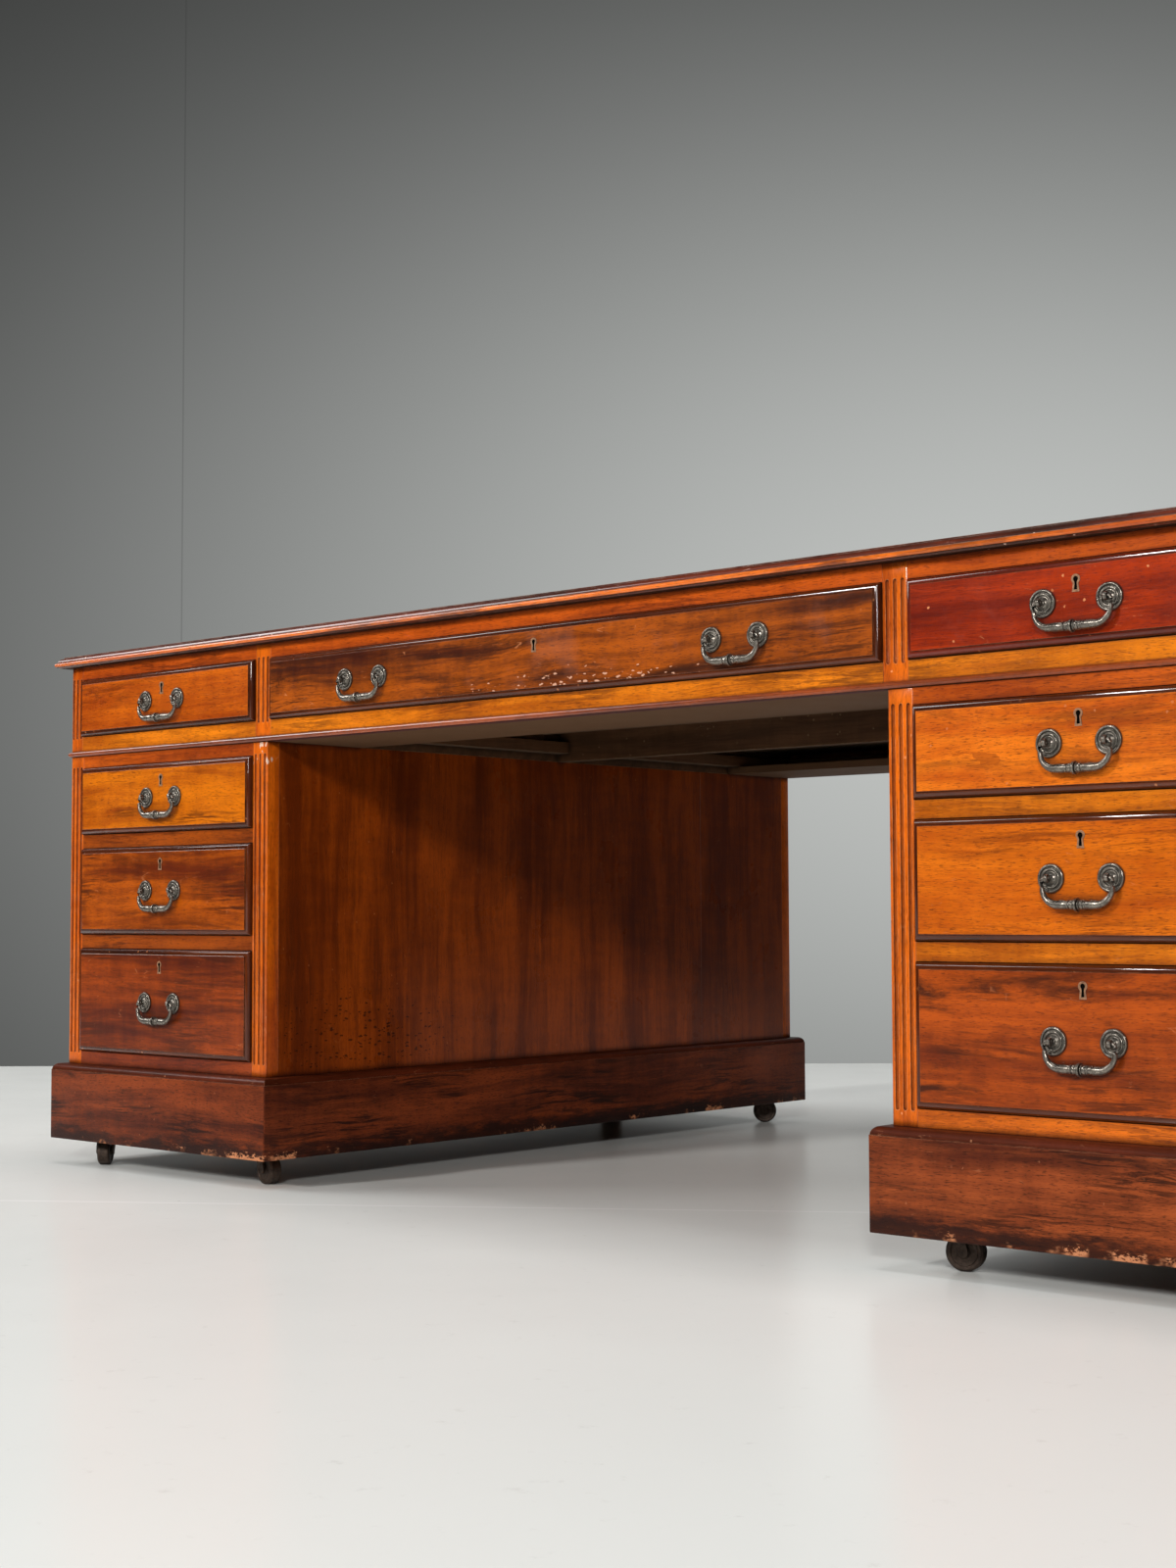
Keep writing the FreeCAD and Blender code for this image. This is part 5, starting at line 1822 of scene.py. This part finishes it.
@dataclass
class Hinge:
    """Butt hinge beside a door, with its knuckles about a vertical pin."""

    length: float = 62.0
    leaf: float = 0.8
    leaf_width: float = 16.0
    knuckle: float = 4.5
    gap: float = 0.15
    ease: float = 0.2
    lap: float = 1.0

    def mesh(self, pin: Vector, edge: float, face: float, knuckles: tuple[int, ...]) -> Shape:
        """Make one leaf with its knuckles.

        Args:
            pin: foot of the pin, at the hinge's lower end.
            edge: the middle of the leaf along X.
            face: where the rear face of the desk is.
            knuckles: which thirds of the hinge this leaf has.

        Returns:
            The leaf.
        """
        shape = bmesh.new()
        left, right = edge - self.leaf / 2, edge + self.leaf / 2
        Workshop.board(shape, (left, face - self.leaf_width, pin.z),
                       (right, face, pin.z + self.length), self.ease)
        third = self.length / 3
        r = self.knuckle
        for i in knuckles:
            low = pin.z + third * i + self.gap
            high = low + third - 2 * self.gap
            Workshop.board(shape, (left, face - self.lap, low), (right, pin.y, high), self.ease)
            barrel = [(0.0, low), (r - 0.5, low), (r, low + 0.5), (r, high - 0.5), (r - 0.5, high),
                      (0.0, high)]
            Workshop.turned(shape, barrel, shift(pin.x, pin.y, 0.0), 24)
        return Workshop.outward(shape)


@dataclass
class CupboardDoor:
    """Framed door with a fielded panel, hung at the side of the desk that its sign tells."""

    name: str
    sign: int
    frame_width: float = 62.0
    thickness: float = 20.0
    arris: float = 0.8
    recess: float = 7.0
    panel: float = 8.0
    panel_dip: float = 1.5
    moulding: float = 7.0
    hinge_gap: float = 2.0
    hinge_from_end: float = 70.0
    lock: Triple = (34.0, 9.0, 23.0)

    def __post_init__(self) -> None:
        """Find the door's pin, edges and faces."""
        self.pin = pivot(self.name)
        self.low, self.high = node_box(self.name)
        self.face = self.pin.y - Hinge.knuckle
        self.back = self.face - self.thickness
        self.hung = self.pin.x - self.sign * self.hinge_gap / 2
        self.free = self.low.x if self.sign > 0 else self.high.x

    def fit(self, shape: Shape, part: str, finishes: list[Finish], slot: str,
            stands_for: tuple[str, ...] = ()) -> None:
        """Finish one part of the door."""
        Workshop.finish(shape, f"{self.name}_{part}", finishes, self.name, slot, stands_for)

    def build(self) -> None:
        """Make the frame, the panel, the lock and the moving hinge leaves."""
        left, right = sorted((self.hung, self.free))
        low, high = self.low.z, self.high.z
        w = self.frame_width
        stiles = bmesh.new()
        for x in (left, right - w):
            Workshop.board(stiles, (x, self.back, low), (x + w, self.face, high), self.arris)
        rails = bmesh.new()
        for z in (low, high - w):
            Workshop.board(rails, (left + w, self.back, z), (right - w, self.face, z + w),
                           self.arris)
        self.fit(stiles, "stiles", [DOOR.along(Grain.ALONG_Z)], "mahogany_door", (self.name,))
        self.fit(rails, "rails", [DOOR], "mahogany_door")
        self.make_panel(left + w, right - w, low + w, high - w)
        self.make_fittings((low + high) / 2)

    def make_panel(self, left: float, right: float, low: float, high: float) -> None:
        """Make the fielded panel and the moulding round it.

        Args:
            left: its edge on the left.
            right: its edge on the right.
            low: its lower edge.
            high: its upper edge.
        """
        shape = bmesh.new()
        bed = self.face - self.recess
        Workshop.box(shape, (left, bed - self.panel, low), (right, bed - self.panel_dip, high))
        field = max(shape.faces, key=along_y)
        for run, rise in ((6.0, 0.0), (22.0, -3.0), (0.3, 1.6), (1.0, 0.3)):
            Workshop.inset(shape, field, run, rise)
        self.fit(shape, "panel", [DOOR.along(Grain.ALONG_Z)], "mahogany_door")
        radius = self.moulding - 1.0
        profile = [(0.0, -self.recess), (0.0, 0.0), (-1.0, 0.0)]
        profile += arc((-1.0, -radius), radius, 90.0, 180.0)
        profile += [(-self.moulding, -self.recess)]
        ring = Workshop.ring((right - left) / 2, (high - low) / 2, profile)
        spot = shift((left + right) / 2, self.face, (low + high) / 2) @ turn(-QUARTER, "X")
        self.fit(Workshop.moved(ring, spot), "moulding", [MOULDING, MOULDING.along(Grain.ALONG_Z)],
                 "mahogany_moulding")

    def make_fittings(self, middle: float) -> None:
        """Fit the lock, the keyhole lining and the moving hinge leaves.

        Args:
            middle: the height of the keyhole.
        """
        lock = bmesh.new()
        reach, deep, half_z = self.lock
        left, right = sorted((self.free, self.free + self.sign * reach))
        Workshop.board(lock, (left, self.back - deep, middle - half_z),
                       (right, self.back, middle + half_z), 1.0)
        self.fit(lock, "lock", [STEEL], "hinge_brass")
        key = self.free + self.sign * self.frame_width / 2
        spot = shift(key, self.face, middle) @ turn(math.pi, "Z")
        lining = Workshop.moved(Escutcheon().mesh(), spot)
        self.fit(lining, "escutcheon", [LINING, KEYHOLE_SHADE], "handle_metal")
        for end, leaf in self.leaves(self.hung + self.sign * Hinge.leaf / 2, (1,)).items():
            self.fit(leaf, f"leaf_{end}", [BRASS], "hinge_brass")

    def leaves(self, edge: float, knuckles: tuple[int, ...]) -> dict[str, Shape]:
        """Make one leaf of each hinge.

        Args:
            edge: the middle of the leaves along X.
            knuckles: which thirds of the hinges they have.

        Returns:
            The lower and the upper leaf.
        """
        feet = {"low": self.low.z + self.hinge_from_end,
                "high": self.high.z - self.hinge_from_end - Hinge.length}
        return {end: Hinge().mesh(Vector((*self.pin.xy, foot)), edge, self.face, knuckles)
                for end, foot in feet.items()}

    def case_leaves(self) -> list[Shape]:
        """Make the leaves that stay on the case."""
        edge = self.pin.x + self.sign * (self.hinge_gap / 2 - Hinge.leaf / 2)
        return list(self.leaves(edge, (0, 2)).values())


@dataclass
class Cupboards:
    """Both cupboard doors and the hinge leaves on the case."""

    signs: tuple[tuple[str, int], ...] = (("door_left", -1), ("door_right", 1))

    def build(self) -> None:
        """Make the doors, then the leaves."""
        leaves = []
        for name, sign in self.signs:
            door = CupboardDoor(name, sign)
            door.build()
            leaves += door.case_leaves()
        Workshop.finish(Workshop.joined(leaves), "case_hinge_leaves", [BRASS], DESK, "hinge_brass",
                        ("door_hinge_leaves",))


# ---------------------------------------------------------------- casters

@dataclass
class Caster:
    """Iron horn caster: the wheel trails towards -X of its swivel axis."""

    corner: str
    wheel_radius: float = 21.0
    wheel_width: float = 19.0
    trail: float = 15.0
    axle: float = 2.5
    boss: float = 5.5
    play: float = 0.8
    cheek: float = 3.0
    crown_low: float = 45.0
    crown_high: float = 50.0
    throat: float = 9.0
    reach: float = 12.0

    def build(self) -> None:
        """Make the fork and the wheel in their place."""
        swivel = pivot(f"caster_fork_{self.corner}")
        roll = Vector(JOINTS[f"caster_wheel_{self.corner}"]["axis"])
        spot = shift(swivel.x, swivel.y, 0.0) @ turn(math.atan2(roll.y, roll.x) - QUARTER, "Z")
        for part, shape in (("fork", self.fork()), ("wheel", self.wheel())):
            node = f"caster_{part}_{self.corner}"
            Workshop.finish(Workshop.moved(shape, spot), f"{node}_casting", [IRON], node,
                            "caster_iron", (node,))

    @property
    def hub(self) -> Matrix:
        """Where the wheel's middle is, with the axle along Z."""
        return shift(-self.trail, 0.0, self.wheel_radius) @ turn(QUARTER, "X")

    def fork(self) -> Shape:
        """Cast the horn, its two cheeks and the axle.

        Returns:
            The fork.
        """
        shape = bmesh.new()
        inside = self.wheel_width / 2 + self.play
        trail, boss, r = self.trail, self.boss, self.wheel_radius
        slant = boss * 0.7
        outline = [(-trail - boss, r), (-trail - slant, r - slant), (-trail, r - boss),
                   (-trail + slant, r - slant), (-trail + boss, r),
                   (0.0, self.crown_low - self.throat), (self.reach, self.crown_low),
                   (self.reach, self.crown_high), (-self.reach, self.crown_high),
                   (-trail - boss + 1.0, r + boss)]
        for side in SIDES:
            cheek = shape.faces.new([shape.verts.new((x, side * inside, z)) for x, z in outline])
            made = bmesh.ops.extrude_face_region(shape, geom=[cheek])["geom"]
            bmesh.ops.translate(shape, vec=(0.0, side * self.cheek, 0.0),
                                verts=Workshop.pick(made, Vert))
        Workshop.board(shape, (-self.reach, -inside - self.cheek, self.crown_low),
                       (self.reach, inside + self.cheek, self.crown_high), 1.0)
        end = inside + self.cheek - 0.05
        pin = [(0.0, -end), (self.axle, -end), (self.axle, end), (0.0, end)]
        Workshop.turned(shape, pin, self.hub, 24)
        return Workshop.outward(shape)

    def wheel(self) -> Shape:
        """Turn the wheel, with a hollow and a ring on each side.

        Returns:
            The wheel.
        """
        shape = bmesh.new()
        r = self.wheel_radius
        half = self.wheel_width / 2
        bore = self.axle + 0.1
        side = [(bore, half), (6.0, half), (7.0, half - 1.6), (r - 6.5, half - 1.6),
                (r - 5.5, half - 0.3), (r - 2.5, half - 0.3), (r, half - 2.5)]
        profile = side + [(radius, -height) for radius, height in reversed(side)] + [(bore, half)]
        Workshop.turned(shape, profile, self.hub, 48)
        return Workshop.outward(shape)


# ---------------------------------------------------------------- carcass

@dataclass
class Carcass:
    """Boards of the desk that keep their own meshes and get a finish."""

    def build(self) -> None:
        """Dress each board."""
        dressed = {
            "top_board": TOP,
            "writing_leather": LEATHER,
            "frieze_end_panels": MAHOGANY.along(Grain.ALONG_Y),
            "frieze_rails": RAIL,
            "frieze_partitions": CASE,
            "drawer_runners": CASE.along(Grain.ALONG_Y),
            "pedestal_side_panels": SIDE,
            "pedestal_rails": RAIL,
            "pedestal_inner_boards": CASE,
            "caster_plates": IRON,
        }
        for name, finish in dressed.items():
            materials = frame["nodes"][name].data.materials
            materials.clear()
            materials.append(finish.material())
            LOG.info("%s: dressed with %s", name, finish.title)


def main() -> None:
    """Build the studio and the whole desk."""
    logging.basicConfig(level=logging.INFO, format="%(name)s: %(message)s")
    bpy.context.scene.view_settings.view_transform = "Standard"
    for made in (Studio, Carcass, TopEdge, Bead, FlutedStiles, Plinths, DrawerSet, Cupboards):
        made().build()
    for side in ("left", "right"):
        for place in ("outer", "inner"):
            for end in ("front", "rear"):
                Caster(f"{side}_{place}_{end}").build()


if __name__ == "__main__":
    main()
